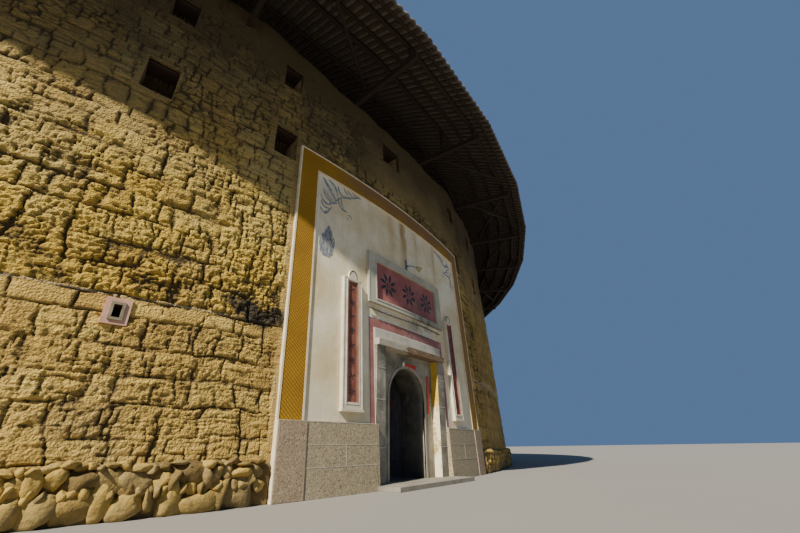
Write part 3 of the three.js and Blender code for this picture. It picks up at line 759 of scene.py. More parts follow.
def earthFinish():
    look = Finish("rammed earth", 0.97)
    creviceShade, tone, mud, black, rough, thread = (
        look.mark(key) for key in ("creviceShade", "tone", "mud", "soot", "rough", "thread"))
    x, y, height = (look.axis(name) for name in "XYZ")
    mixed = tone * 0.55 + look.noise(9.0, 6.0) * 0.55
    look.base(mixed, (0.25, 0.44, 0.275, 0.062), (0.5, 0.69, 0.460, 0.108), (0.8, 0.81, 0.585, 0.165))
    golden = ((0.25, 0.45, 0.270, 0.034), (0.5, 0.66, 0.430, 0.058), (0.8, 0.79, 0.555, 0.105))
    # The rough band's golden tone fades towards the right as painted shade, since that side lies in shadow
    look.coat(rough * x.level(0.0, 4.0, 0.95, 0.55), look.ramp(mixed, *golden))
    wide = look.noise(1.1, 4.0) + height * 0.045
    look.coat(wide.level(0.58, 0.84, 0.0, 0.60), (0.50, 0.420, 0.190))
    # Painted shade on the strip of wall right of the panel, which lies in shadow
    beside = x.level(2.05, 2.5) * y.level(-14.0, -11.0, 0.55, 0.0)
    look.coat(beside, (0.30, 0.190, 0.050))
    look.coat(mud, look.ramp(look.noise(3.2, 5.0), (0.3, 0.38, 0.265, 0.085), (0.7, 0.55, 0.405, 0.150)))
    # Level streaks of gravelly strata, and painted shade in pits finer than the mesh
    streaks = look.noise(6.0, 5.0, look.stretch(0.45, 1.0, 7.0, look.ringPlace()), 0.7, 0.3)
    look.coat(streaks.level(0.52, 0.72, 0.0, 0.35), (0.26, 0.17, 0.060))
    look.coat(look.cells(30.0).level(0.0, 0.42, 0.35, 0.0), (0.20, 0.13, 0.045))
    # Painted shade in the cracks, splits, pockets, rounded block edges and under the ledge
    look.coat(creviceShade.level(0.08, 0.85, 0.0, 0.92), (0.060, 0.038, 0.014))
    look.coat(thread * 0.75, (0.60, 0.52, 0.36))
    # Darker towards the top of the wall: painted shade under the eaves
    eaveShade = height + look.noise(1.6, 4.0).level(0.3, 0.7, -0.5, 0.5)
    look.coat(eaveShade.level(2.7, 5.2, 0.0, 0.94), (0.060, 0.043, 0.018))
    sootEdge = black + look.noise(18.0, 7.0) * 1.2
    look.coat(sootEdge.level(0.70, 1.45) * 0.93, (0.022, 0.019, 0.015))
    return look.done(look.noise(38.0, 7.0) + look.cells(58.0) * 0.6 + streaks * 0.8, 0.024, 1.0)


def insideEarthFinish():
    # The CAD wall behind the relief: its window reveals, inner face and passage
    look = Finish("packed earth inside", 0.97)
    look.base(look.noise(2.4, 6.0), (0.3, 0.26, 0.17, 0.070), (0.7, 0.42, 0.30, 0.14))
    lifts = look.work("SINE", look.axis("Z") * (2 * pi / 0.21))
    look.coat(lifts.level(0.9, 1.0, 0.0, 0.5), (0.16, 0.11, 0.05))
    return look.done(look.noise(11.0, 6.0) + lifts.level(0.85, 1.0, 0.0, -0.7), 0.02, 0.8)


def buildEarthWalls():
    finish, look = earthFinish(), earth
    foot, top, near, seam = look["foot"], ring["top"], look["nearEnd"], look["panelSeam"]
    earthSkin("near_low", (near, seam), (foot, look["nearSplit"]), look["lowGrid"], finish)
    earthSkin("near_high", (near, seam), (look["nearSplit"], top), look["highGrid"], finish)
    hidden = ((seam + look["hiddenEnd"]) / 2, look["hiddenEnd"] - seam, 0.0, look["hiddenTop"])
    earthSkin("gate", (seam, gateHalf), (foot, top), look["gateGrid"], finish, hidden)
    earthSkin("left_front", (-gateHalf - sideSpan, near), (foot, top), look["middleGrid"], finish)
    for number, place in enumerate(("front", "side", "back")):
        for handed, side in sides.items():
            if (handed, place) != ("left", "front"):
                ends = mirrored(side, gateHalf + number * sideSpan, gateHalf + (number + 1) * sideSpan)
                spacing = look["middleGrid"] if place == "front" else look["farGrid"]
                earthSkin(f"{handed}_{place}", ends, (foot, top), spacing, finish)
    setFinish(insideEarthFinish(), *nodesNamed("earth_wall"), *nodesNamed("gate_wall"))


# Window bars, lintel boards and sills, set deep in the wall
def buildWindows():
    bars, boards = Shape(), Shape()
    for arc, width, low, high in windowBoxes():
        turn = arc / ring["radius"]
        across, out = np.array([cos(turn), sin(turn), 0]), polar(turn, 1, 0)
        face = faceRadius((low + high) / 2)
        centre = polar(turn, face - windows["barDepth"], 0)
        for k in range(windows["bars"]):
            place = centre + across * width * ((k + 0.5) / windows["bars"] - 0.5)
            bars.bar(place + (0, 0, low), place + (0, 0, high), windows["barWidth"], windows["barWidth"], out)
        centre = polar(turn, face - windows["boardDepth"] / 2 - windows["boardBack"], 0)
        half = across * width / 2
        for height, thick in ((low + windows["sillThick"] / 2, windows["sillThick"]),
                              (high - windows["headThick"] / 2, windows["headThick"])):
            lift = (0, 0, height)
            boards.bar(centre - half + lift, centre + half + lift, windows["boardDepth"], thick)
    dark = woodFinish("window wood", (0.018, 0.012, 0.008), (0.050, 0.034, 0.022), (12, 12, 1.5))
    addShape("window_bars", bars, dark)
    reddish = woodFinish("window lintel wood", (0.022, 0.012, 0.008), (0.060, 0.032, 0.020),
                         (1.5, 14, 14), 0.85, True)
    addShape("window_boards", boards, reddish)


# Boulder footing: single river stones bedded in mud, each cut by a few random flats
footing = {
    "top": 0.330, "base": 15.046, "panelEdge": 2.135, "firstStone": 0.07, "nearArc": 5.3,
    "width": 0.175, "tall": 0.235, "depth": 0.060, "courses": (0.085, 0.245, 0.165, 0.322), "flats": 9,
    "courseWidths": (1.0, 0.80, 0.45, 0.55), "courseTalls": (1.0, 0.60, 0.42, 0.26), "edgeSharpness": 60,
    "nearRings": {"left": (13, 20), "right": (7, 10)}, "farRings": (4, 7), "farScale": 2.2,
    "bedNear": 0.016, "bedFar": 0.090, "bedRise": 0.004, "bedOver": 0.10,
}


def boulder(shape, arc, height, size, tilt, key, rings):
    # A rounded many-sided stone: the soft minimum of flats round its middle
    rows, columns = rings
    rise = np.linspace(-pi / 2, pi / 2, rows + 1)[:, None]
    turn = (np.arange(columns) * 2 * pi / columns)[None, :]
    level, lift = np.cos(rise), np.sin(rise)
    way = np.stack([level * np.cos(turn), level * np.sin(turn), lift + 0 * turn], axis=-1)
    flats, sharpness = footing["flats"], footing["edgeSharpness"]
    total = np.zeros(way.shape[:2])
    for k in range(flats):
        lift = 1 - 2 * (k + 0.2 + 0.6 * chance(205, key, k)) / flats
        spin = k * 2.4 + 6.3 * chance(201, key, k)
        level = sqrt(1 - lift * lift)
        flat = np.array([level * cos(spin), level * sin(spin), lift])
        away = 0.60 + 0.40 * chance(202, key, k)
        total += np.clip(way @ flat / away, 0, None) ** sharpness
    rugged = 1 + 0.10 * layeredNoise(way[..., 0] * 2.1 + key, way[..., 2] * 2.1 + way[..., 1], 208)
    local = way * (np.minimum(total ** (-1 / sharpness), 1.25) * rugged)[..., None] * np.array(size)
    leanX = local[..., 0] * cos(tilt) - local[..., 2] * sin(tilt)
    leanZ = local[..., 0] * sin(tilt) + local[..., 2] * cos(tilt)
    leanX = leanX + 0.006 * layeredNoise(leanX * 20 + key, leanZ * 20, 203, 2)
    worn = layeredNoise(leanX * 16 + key, leanZ * 16, 206)
    out = footing["base"] + 0.006 * chance(204, key) - local[..., 1] + 0.007 * worn
    points = around((arc + leanX) / ring["radius"], out, np.maximum(height + leanZ, 0.0))
    shape.add(points.reshape(-1, 3), wrapFaces(rows + 1, columns).tolist())
    shape.tones += [chance(207, key)] * ((rows + 1) * columns)


def placeBoulders(shape, low, high, scale, rings, seed):
    # Courses of stones from one arc to another, with varied widths and tilts
    for course, middle in enumerate(footing["courses"]):
        arc, key = low, seed + 100 * course
        while arc < high:
            wider, taller = footing["courseWidths"][course], footing["courseTalls"][course]
            width = footing["width"] * scale * (0.50 + 0.9 * chance(211, key)) * wider
            tall = footing["tall"] * (0.60 + 0.60 * chance(212, key)) * taller
            depth = footing["depth"] * (0.7 + 0.5 * chance(213, key))
            tilt = radians(-38 + 62 * chance(214, key)) * (1.0 if width < tall else 0.4)
            if arc + width > high + 0.02:
                break
            height = middle + 0.045 * (chance(215, key) - 0.5)
            boulder(shape, arc + width / 2, height, (0.56 * width, depth, 0.56 * tall), tilt, key, rings)
            arc += width * (0.80 + 0.18 * chance(216, key))
            key += 1


def bedRelief(arc, height):
    upper = footing["top"] + 0.035 * layeredNoise(arc * 2.2, arc * 0 + 1.5, 98)
    relief = footing["bedRise"] + 0.016 * layeredNoise(arc * 8, height * 8, 97, 4)
    return relief - 0.13 * smoothStep(height, upper - 0.04, upper + 0.06)


def boulderFinish():
    look = Finish("river boulders", 0.86)
    mixed = look.mark("tone") * 0.6 + look.noise(9.0, 5.0, look.ringPlace()) * 0.4
    look.base(mixed, (0.18, 0.13, 0.085, 0.024), (0.34, 0.33, 0.215, 0.044), (0.52, 0.52, 0.345, 0.068),
              (0.70, 0.30, 0.210, 0.070), (0.82, 0.18, 0.125, 0.040))
    look.coat(look.noise(24.0, 4.0).level(0.48, 0.75, 0.0, 0.55), (0.15, 0.105, 0.040))
    look.coat(look.axis("Z").level(0.0, 0.16, 0.45, 0.0), (0.16, 0.12, 0.055))
    return look.done(look.noise(30.0, 7.0), 0.016, 1.0)


def buildFooting():
    finish = boulderFinish()
    bed = mottledFinish("footing mud", 0.95, (6.0, 5.0), (
        (0.3, 0.070, 0.045, 0.014), (0.7, 0.19, 0.125, 0.038)), (20.0, 4.0, 0.014, 0.9))
    edge, near, end = footing["panelEdge"], footing["nearArc"], pi * ring["radius"]
    tall = footing["top"] + footing["bedOver"]
    for handed, side in sides.items():
        for part, low, high, scale, rings, seed in (
                ("near", edge + footing["firstStone"], near, 1.0, footing["nearRings"][handed], 1000),
                ("far", near, end, footing["farScale"], footing["farRings"], 9000)):
            stones = Shape()
            placeBoulders(stones, *mirrored(side, low, high), scale, rings, seed * (2 + side))
            addShape(f"boulders_{part}_{handed}", stones, finish, smooth=True)
        for part, low, high, spacing in (
                ("near", edge, near, footing["bedNear"]), ("far", near, end, footing["bedFar"])):
            heights = np.linspace(0.0, tall, int(tall / spacing) + 2)
            arc, height = np.meshgrid(spread(*mirrored(side, low, high), spacing), heights)
            points = around(arc / ring["radius"], footing["base"] + bedRelief(arc, height), height)
            faces, name = gridFaces(*arc.shape), f"boulder_bed_{part}_{handed}"
            addPiece(name, points, faces, bed, smooth=True)
        setFinish(bed, f"boulder_footing_{handed}")


# Ring roof: tiles on laths over the CAD purlins and beams
roof = {
    "eave": 16.285, "eaveHeight": 5.98, "slope": 0.47, "ridge": 12.9, "innerEave": 10.3, "deck": 0.09,
    "lathsPerBay": 16, "lathWidth": 0.058, "lathHeight": 0.030, "lathShort": 0.02,
    "tileWave": 0.042, "course": 0.085, "tileLap": 0.045, "sunk": 0.020, "rows": {"outer": 8, "inner": 5},
    "panWave": (0.0, 0.62, 1.0, 0.62), "underWave": (-0.018, -0.006, 0.004, -0.006),
}
# Ridge tiles: the outline's places out from the ridge and up, and how much each lap differs
ridge = {
    "outline": ((0.125, 0.0), (0.110, 0.045), (0.070, 0.095), (0.0, 0.118),
                (-0.070, 0.095), (-0.110, 0.045), (-0.125, 0.0)),
    "steps": 960, "smaller": 0.86, "sunk": 0.01,
}
# Thin round poles under the laths: reach, drop under the roof, half width and seed
eavePoles = {
    "rounds": ((15.62, 0.024, 0.026, 111), (16.17, 0.020, 0.022, 112), (14.55, 0.03, 0.03, 113)),
    "perBay": 3, "sway": 0.03,
    "braceReach": 15.75, "braceFoot": (15.0, 5.93), "braceWidths": (0.030, 0.028, 0.024),
}


def roofUnderside(reach):
    if reach > roof["ridge"]:
        return roof["eaveHeight"] + (roof["eave"] - reach) * roof["slope"]
    return roof["eaveHeight"] + (roof["eave"] - 2 * roof["ridge"] + reach) * roof["slope"]


def facetShare(turns):
    # The CAD roof is a ring of flat facets between the frames; this brings a round reach onto them
    part = np.mod(np.asarray(turns, float) - firstFrame, bay) - bay / 2
    return cos(bay / 2) / np.cos(part)


def tileSheet(low, high, rows, underside):
    # low and high are the reaches of the sheet's bottom and top edges
    columns = ring["frames"] * roof["lathsPerBay"] * 4
    turns = np.arange(columns) * 2 * pi / columns + firstFrame
    step, tile = np.arange(columns) % 4, np.arange(columns) // 4
    waves = np.array(roof["underWave"] if underside else roof["panWave"])[step]
    outward = 1 if low > high else -1
    points = []
    for index, reach in enumerate(np.linspace(low + outward * roof["tileLap"], high, rows)):
        flat = np.full(columns, reach)
        sag = 0.006 * softNoise(tile * 0.11, tile * 0 + reach * 3.0, 101)
        if index == 0:
            flat = flat + outward * 0.022 * (hashed(tile * 1.0, tile * 0.0, 102) - 0.6) * (step == 2)
            flat = flat - outward * 0.020 * (step == 0)
        base = np.array([roofUnderside(value) for value in flat])
        if underside:
            height = base + roof["lathHeight"] + waves
        else:
            height = base + roof["deck"] - roof["sunk"] + roof["tileWave"] * waves + sag
        points.append(around(turns, flat * facetShare(turns), height))
    return points


def tileFinish():
    look = Finish("weathered clay tile", 0.85)
    courses = look.work("FRACT", look.axis("Y", look.ringPlace()) / roof["course"])
    look.base(look.noise(9.0, 4.0),
              (0.30, 0.045, 0.040, 0.036), (0.55, 0.105, 0.092, 0.080), (0.8, 0.19, 0.165, 0.135))
    look.coat(look.noise(0.9, 4.0).level(0.45, 0.75, 0.0, 0.5), (0.15, 0.115, 0.085))
    # Painted shade under the lapped edge of each course
    look.coat(courses.level(0.0, 0.16, 0.65, 0.0), (0.02, 0.018, 0.016))
    return look.done(courses + look.noise(30.0, 3.0) * 0.3, 0.012, 0.8)


def buildRoof():
    finish = tileFinish()
    count = ring["frames"] * roof["lathsPerBay"]
    for name, low in (("outer", roof["eave"]), ("inner", roof["innerEave"])):
        under = tileSheet(low, roof["ridge"], 3, True)
        points = np.stack(under[::-1] + tileSheet(low, roof["ridge"], roof["rows"][name], False))
        faces = wrapFaces(len(points), count * 4, name == "inner")
        piece = addPiece(f"roof_tiles_{name}", points, faces, finish, smooth=True)
        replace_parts(piece, f"roof_{name}_slope")
        laths = Shape()
        for number in range(count):
            turn = firstFrame + (number + 0.5) * 2 * pi / count
            share, tall = float(facetShare(turn)), roof["lathHeight"]
            reaches = (low + (roof["lathShort"] if name == "outer" else -roof["lathShort"]), roof["ridge"])
            ends = [polar(turn, reach * share, roofUnderside(reach) + tall / 2) for reach in reaches]
            laths.bar(*ends, roof["lathWidth"], tall)
        wood = woodFinish(f"lath wood {name}", (0.024, 0.017, 0.011), (0.075, 0.052, 0.034),
                          (25, 2.0, 25), 0.85, True)
        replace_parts(addShape(f"roof_laths_{name}", laths, wood), f"roof_{name}_slope")
    buildRidge(finish)
    buildEavePoles()


def buildRidge(finish):
    # Ridge tiles lapped round the ring
    steps = np.arange(ridge["steps"])
    turns = steps * 2 * pi / ridge["steps"] + firstFrame
    lap = np.where(steps % 4 < 2, 1.0, ridge["smaller"])
    share, base = facetShare(turns), roofUnderside(roof["ridge"]) + roof["deck"] - ridge["sunk"]
    points = []
    for side, lift in ridge["outline"]:
        height = base + lift * lap - roof["slope"] * abs(side)
        points.append(around(turns, (roof["ridge"] + side * lap) * share, height))
    faces = wrapFaces(len(points), ridge["steps"])
    piece = addPiece("ridge_tiles", np.stack(points), faces, finish, smooth=True)
    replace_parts(piece, "roof_ridge")


def buildEavePoles():
    poles = Shape()
    for reach, drop, width, seed in eavePoles["rounds"]:
        steps = ring["frames"] * eavePoles["perBay"]
        sways = softNoise(np.arange(steps) * 0.37, np.full(steps, 0.5), seed)
        path = []
        for k, sway in enumerate(sways):
            turn = firstFrame + k * 2 * pi / steps
            place = reach + eavePoles["sway"] * sway
            height = roofUnderside(place) - drop - 0.006 * sway
            path.append(polar(turn, place * float(facetShare(turn)), height))
        poles.tube(path, width * (1 + 0.15 * sways), 7, closed=True)
    # Braces between the beams' ends, to either side by chance
    for number in range(ring["frames"]):
        turn = firstFrame + number * bay
        luck = chance(114, number, 1)
        toward = 1 if luck > 0.5 else -1
        reach = eavePoles["braceReach"] + 0.25 * luck
        start = polar(turn + toward * 0.004, *eavePoles["braceFoot"])
        end = polar(turn + toward * bay * (0.62 + 0.3 * luck), reach, roofUnderside(reach) - 0.06)
        middle = (start + end) / 2 + np.array([0, 0, -0.02])
        poles.tube([start, middle, end], eavePoles["braceWidths"], 7)
    wood = woodFinish("pole wood", (0.010, 0.006, 0.004), (0.028, 0.016, 0.010), (2.0, 20, 20), 0.8, True)
    addShape("eave_poles", poles, wood, smooth=True)


def finishTimbers():
    dark, darker = (0.030, 0.016, 0.010), (0.011, 0.006, 0.004)
    radial = woodFinish("old roof beams", darker, dark, (24, 1.8, 24), 0.8, True)
    ringed = woodFinish("old purlins", darker, dark, (1.8, 22, 22), 0.8, True)
    upright = woodFinish("old posts and beams", (0.060, 0.033, 0.020), (0.170, 0.100, 0.060), (14, 14, 1.6))
    planks = woodFinish("old floor boards", (0.085, 0.052, 0.030), (0.215, 0.140, 0.085),
                        (6, 22, 22), 0.85, True)
    setFinish(radial, "eave_beams")
    for part, finish in (("purlin", ringed), ("storey_frame", upright), ("gallery", planks)):
        setFinish(finish, *nodesNamed(part))


# Gallery trim: rails, balusters, joists and board edges on the courtyard side
gallery = {
    "floors": (1.95, 3.25, 4.55), "edge": 11.10, "railTop": 0.475, "thick": 0.125,
    "balusters": 12, "joists": 4,
    "rails": ((0.487, 0.0225, 0.055, 0.030), (0.25, 0.004, 0.012, 0.03), (0.02, 0.004, 0.012, 0.04)),
    "baluster": (0.05, 0.012), "balusterFoot": 0.02, "balusterIn": 0.003,
    "joist": (0.05, 0.055), "joistDrop": 0.028, "joistReach": (0.19, 2.99),
}


def buildGalleryTrim():
    # A rail is its lift over the floor, how far inside the edge it runs, its depth and its height
    trim, edge, top = Shape(), gallery["edge"], gallery["railTop"]
    for floor in gallery["floors"]:
        for number in range(ring["frames"]):
            start, end = (firstFrame + step * bay for step in (number, number + 1))
            for lift, inside, deep, high in gallery["rails"]:
                trim.bar(*(polar(turn, edge + inside, floor + lift) for turn in (start, end)), deep, high)
            for k in range(gallery["balusters"]):
                turn = start + (k + 0.5) * bay / gallery["balusters"]
                reach = (edge + gallery["balusterIn"]) * float(facetShare(turn))
                foot, head = (polar(turn, reach, floor + lift) for lift in (gallery["balusterFoot"], top))
                trim.bar(foot, head, *gallery["baluster"], polar(turn, 1, 0))
            for k in range(gallery["joists"]):
                turn = start + (k + 0.5) * bay / gallery["joists"]
                height = floor - gallery["thick"] - gallery["joistDrop"]
                share = float(facetShare(turn))
                ends = (polar(turn, (edge + out) * share, height) for out in gallery["joistReach"])
                trim.bar(*ends, *gallery["joist"])
    wood = woodFinish("gallery rail wood", (0.07, 0.04, 0.024), (0.19, 0.12, 0.07), (16, 16, 3))
    addShape("gallery_trim", trim, wood)


# Gate panel: cream stucco, ochre border, granite foot, lime edges, mauve band and brush ornament
panel = {
    "half": 2.115, "innerHalf": 1.845, "top": 4.11, "innerTop": 3.835, "dado": 0.666,
    "plaster": 0.055, "border": 0.070, "dadoProud": 0.095, "skin": 0.0022, "behind": 0.02,
    "limeOver": 0.006, "dadoLime": 0.012, "borderLime": 0.020, "innerLime": (-0.018, 0.004),
    "band": (0.820, 0.914), "bandTop": 1.967, "bandUnder": 1.842, "line": 0.010, "underLine": 0.012,
    "courses": (0.255, 0.452), "upright": 1.30, "pier": 1.805, "joint": 0.006, "gateway": 0.812,
    "cementHalf": 0.808, "cementFoot": 1.694,
    "rain": ((-0.04, 0.120, 0.90), (0.03, 0.035, 0.70), (-0.34, 0.12, 0.45),
             (0.34, 0.10, 0.40), (0.95, 0.12, 0.45)),
    "inkWashesAndShadow": (((-1.63, 2.79, 0.13, 0.25, 0.85), (0.26, 0.28, 0.31)),
               ((-1.60, 3.60, 0.30, 0.26, 0.40), (0.34, 0.36, 0.38)),
               ((1.52, 3.58, 0.32, 0.24, 0.35), (0.34, 0.36, 0.38)),
               ((0.28, 2.06, 0.46, 0.22, 1.3), (0.21, 0.21, 0.19))),
}


def plasterFinish():
    look = Finish("stained cream stucco", 0.93)
    x, height = look.axis("X"), look.axis("Z")
    streaks = look.noise(5.0, 4.0, look.stretch(1.6, 1.6, 0.16), 0.6)
    look.base(look.noise(1.6, 5.0),
              (0.30, 0.75, 0.65, 0.41), (0.55, 0.86, 0.785, 0.575), (0.78, 0.79, 0.755, 0.59))
    look.coat(streaks.level(0.52, 0.80, 0.0, 0.55), (0.52, 0.40, 0.20))
    look.coat(look.noise(1.3, 6.0, None, 0.65, 0.6).level(0.44, 0.66, 0.0, 0.72), (0.62, 0.48, 0.225))
    look.coat(height.level(0.66, 1.25, 0.55, 0.0) * look.noise(4.0, 4.0), (0.45, 0.41, 0.32))
    # Rain stains that run down from the border over the name board: middle, width and share
    sway = look.noise(2.2, 2.0, look.stretch(0.5, 0.5, 1.0)).level(0.3, 0.7, -0.03, 0.03)
    for middle, width, share in panel["rain"]:
        run = look.work("ABSOLUTE", x + sway - middle).level(0.0, width, share, 0.0)
        run = run * height.level(2.75, 3.55)
        look.coat(run * streaks.level(0.3, 0.6, 0.5, 1.2), (0.36, 0.215, 0.055))
    look.coat(look.noise(14.0, 5.0).level(0.58, 0.80, 0.0, 0.30), (0.50, 0.46, 0.36))
    # Old ink washed into the stucco round the ornament, and a painted shadow cast down from the lamp under
    # the name board
    for place, tint in panel["inkWashesAndShadow"]:
        look.coat(look.stain(*place), tint)
    return look.done(look.noise(8.0, 5.0) + look.noise(55.0, 3.0) * 0.25, 0.006, 0.6)


def borderFinish():
    look = Finish("ochre painted border", 0.88)
    x, z = look.axis("X"), look.axis("Z")
    slant = look.work("SINE", (x + z) * (2 * pi / 0.040))
    cross = look.work("SINE", (x - z) * (2 * pi / 0.054))
    look.base(look.noise(1.9, 5.0),
              (0.3, 0.33, 0.165, 0.0015), (0.55, 0.43, 0.225, 0.0025), (0.8, 0.50, 0.275, 0.006))
    look.coat(slant.level(-0.1, 0.9, 0.0, 0.72), (0.13, 0.058, 0.001))
    look.coat(cross.level(0.0, 1.0, 0.0, 0.30), (0.19, 0.088, 0.001))
    # Painted shade at the top of the border and down its right hand side, where the panel lies in shadow
    top = (z + look.noise(3.0).level(0.3, 0.7, -0.15, 0.15)).level(3.82, 3.98)
    look.coat(top * x.level(-1.6, -1.0) * 0.90, (0.215, 0.120, 0.045))
    look.coat(x.level(1.6, 1.85, 0.0, 0.62) * z.level(0.95, 1.35), (0.25, 0.140, 0.055))
    return look.done(slant * -0.4 + look.noise(40.0, 3.0), 0.003, 0.7)


def buildPanel():
    setFinish(plasterFinish(), "panel_plaster")
    setFinish(borderFinish(), "panel_border")
    granite = speckledFinish("dressed granite", (0.345, 0.280, 0.170), (0.50, 0.42, 0.28),
                             (0.14, 0.11, 0.065), (0.30, 0.25, 0.15))
    setFinish(granite, "granite_dado_left", "granite_dado_right")
    half, innerHalf, dado = panel["half"], panel["innerHalf"], panel["dado"]
    top, innerTop = panel["top"], panel["innerTop"]

    # Lime wash on the edges of the border and a thin lime line beside the field
    lime = Shape()
    edge, over = half + panel["limeOver"], top + panel["limeOver"]
    behind, border, plaster = panel["behind"], panel["border"] + 0.004, panel["plaster"]
    lime.pair((edge - panel["dadoLime"], edge), (0.0, dado), behind, panel["dadoProud"] + 0.003)
    lime.pair((edge - panel["borderLime"], edge), (dado, over), behind, border)
    lime.slab((-half, half), (over - panel["borderLime"], over), behind, border)
    lime.pair([innerHalf + way for way in panel["innerLime"]], (dado, innerTop), plaster, border - 0.002)
    lime.slab((-innerHalf, innerHalf), (innerTop - 0.016, innerTop + 0.004), plaster, border - 0.002)
    wash = plainFinish("worn lime wash", (0.70, 0.56, 0.32), (0.84, 0.74, 0.54), 9.0)
    addShape("lime_edges", lime, wash)

    # Pinker corner piers and pale mortar joints of the granite foot
    piers, joints = Shape(), Shape()
    proud, pier, joint, gate = (panel[key] for key in ("dadoProud", "pier", "joint", "gateway"))
    piers.pair((pier, half - 0.013), (0.002, dado - 0.002), proud - 0.01, proud + 0.008)
    upright = panel["upright"]
    spans = [((gate, pier), (height - joint / 2, height + joint / 2)) for height in panel["courses"]]
    spans += [((upright, upright + joint), panel["courses"]), ((pier - joint, pier), (0, dado))]
    for arcs, heights in spans:
        joints.pair(arcs, heights, proud - 0.004, proud + 0.0016)
    joints.pair((gate, half), (dado - 0.006, dado + 0.004), 0.05, proud + 0.0016)
    pink = speckledFinish("pinkish granite", (0.315, 0.235, 0.145), (0.46, 0.36, 0.25), (0.13, 0.095, 0.060))
    addShape("granite_piers", piers, pink)
    mortar = plainFinish("pale mortar", (0.40, 0.355, 0.25), (0.54, 0.49, 0.37), 14.0)
    addShape("granite_joints", joints, mortar)

    # Mauve band round the gateway with thin white lines, and the grey cement zone inside it
    band, line, cement = Shape(), Shape(), Shape()
    into, out = panel["band"]
    top, under, wide = panel["bandTop"], panel["bandUnder"], panel["line"]
    low, skin = plaster - 0.003, plaster + panel["skin"]
    band.pair((into, out), (dado, top), low, skin)
    band.slab((-into, into), (under, top), low, skin)
    line.pair((out, out + wide), (dado, top + wide), low, skin + 0.002)
    line.slab((-out, out), (top, top + wide), low, skin + 0.002)
    line.pair((into - 0.004, into + 0.005), (dado, under), low, plaster + 0.006)
    line.slab((-into, into), (under - panel["underLine"], under), low, plaster + 0.008)
    wide, heights = panel["cementHalf"], (panel["cementFoot"], under - panel["underLine"])
    cement.slab((-wide, wide), heights, low, plaster + 0.012)
    # Its dark patch right of the middle is a painted shadow cast down from the lamp
    mauve = mottledFinish(
        "faded mauve paint", 0.9, (4.0, 6.0),
        ((0.28, 0.25, 0.095, 0.080), (0.6, 0.34, 0.145, 0.125), (0.85, 0.44, 0.27, 0.22)),
        (60.0, 3.0, 0.002, 0.5), (11.0, 6.0, 0.57, 0.78, 0.6, (0.62, 0.56, 0.46)),
        (0.24, 1.95, 0.42, 0.30, 1.2, (0.12, 0.085, 0.080)))
    addShape("mauve_band", band, mauve)
    white = plainFinish("white line paint", (0.60, 0.57, 0.49), (0.76, 0.73, 0.65), 12.0)
    addShape("band_lines", line, white)
    grey = plainFinish("grey white render", (0.40, 0.375, 0.30), (0.60, 0.565, 0.47), 7.0)
    addShape("gateway_head_plaster", cement, grey)


# Brush ornament: tapered strokes of faded blue-grey ink on the stucco
def brushStroke(shape, places, widest, proud):
    places = np.asarray(places, float)
    count = len(places)
    fine = np.linspace(0, count - 1, count * 3)
    line = np.stack([np.interp(fine, np.arange(count), places[:, k]) for k in (0, 1)], axis=1)
    for _ in range(3):
        line[1:-1] = (line[:-2] + 2 * line[1:-1] + line[2:]) / 4
    along = np.gradient(line, axis=0)
    along /= np.linalg.norm(along, axis=1)[:, None]
    side = np.stack([-along[:, 1], along[:, 0]], axis=1)
    part = np.linspace(0, 1, len(line))
    width = widest * np.sin(pi * np.clip(part * 0.86 + 0.10, 0, 1)) ** 0.8
    edges = (line + side * width[:, None], line - side * width[:, None])
    points = np.stack([onWall(edge[:, 0], edge[:, 1], lift) for lift in (proud - 0.002, proud + panel["skin"])
                       for edge in edges], axis=1)
    faces = []
    for a in range(0, 4 * len(line) - 4, 4):
        b = a + 4
        faces += [(a + 2, a + 3, b + 3, b + 2), (a, a + 2, b + 2, b), (a + 3, a + 1, b + 1, b + 3)]
    shape.add(points.reshape(-1, 3), faces)


def curl(start, turn, length, bend, steps=7):
    # A curving line from a place, heading by an angle and bending as it goes
    places = [np.asarray(start, float)]
    for k in range(steps):
        turn += bend * (0.4 + 1.2 * k / steps) / steps
        places.append(places[-1] + length / steps * np.array([cos(turn), sin(turn)]))
    return places


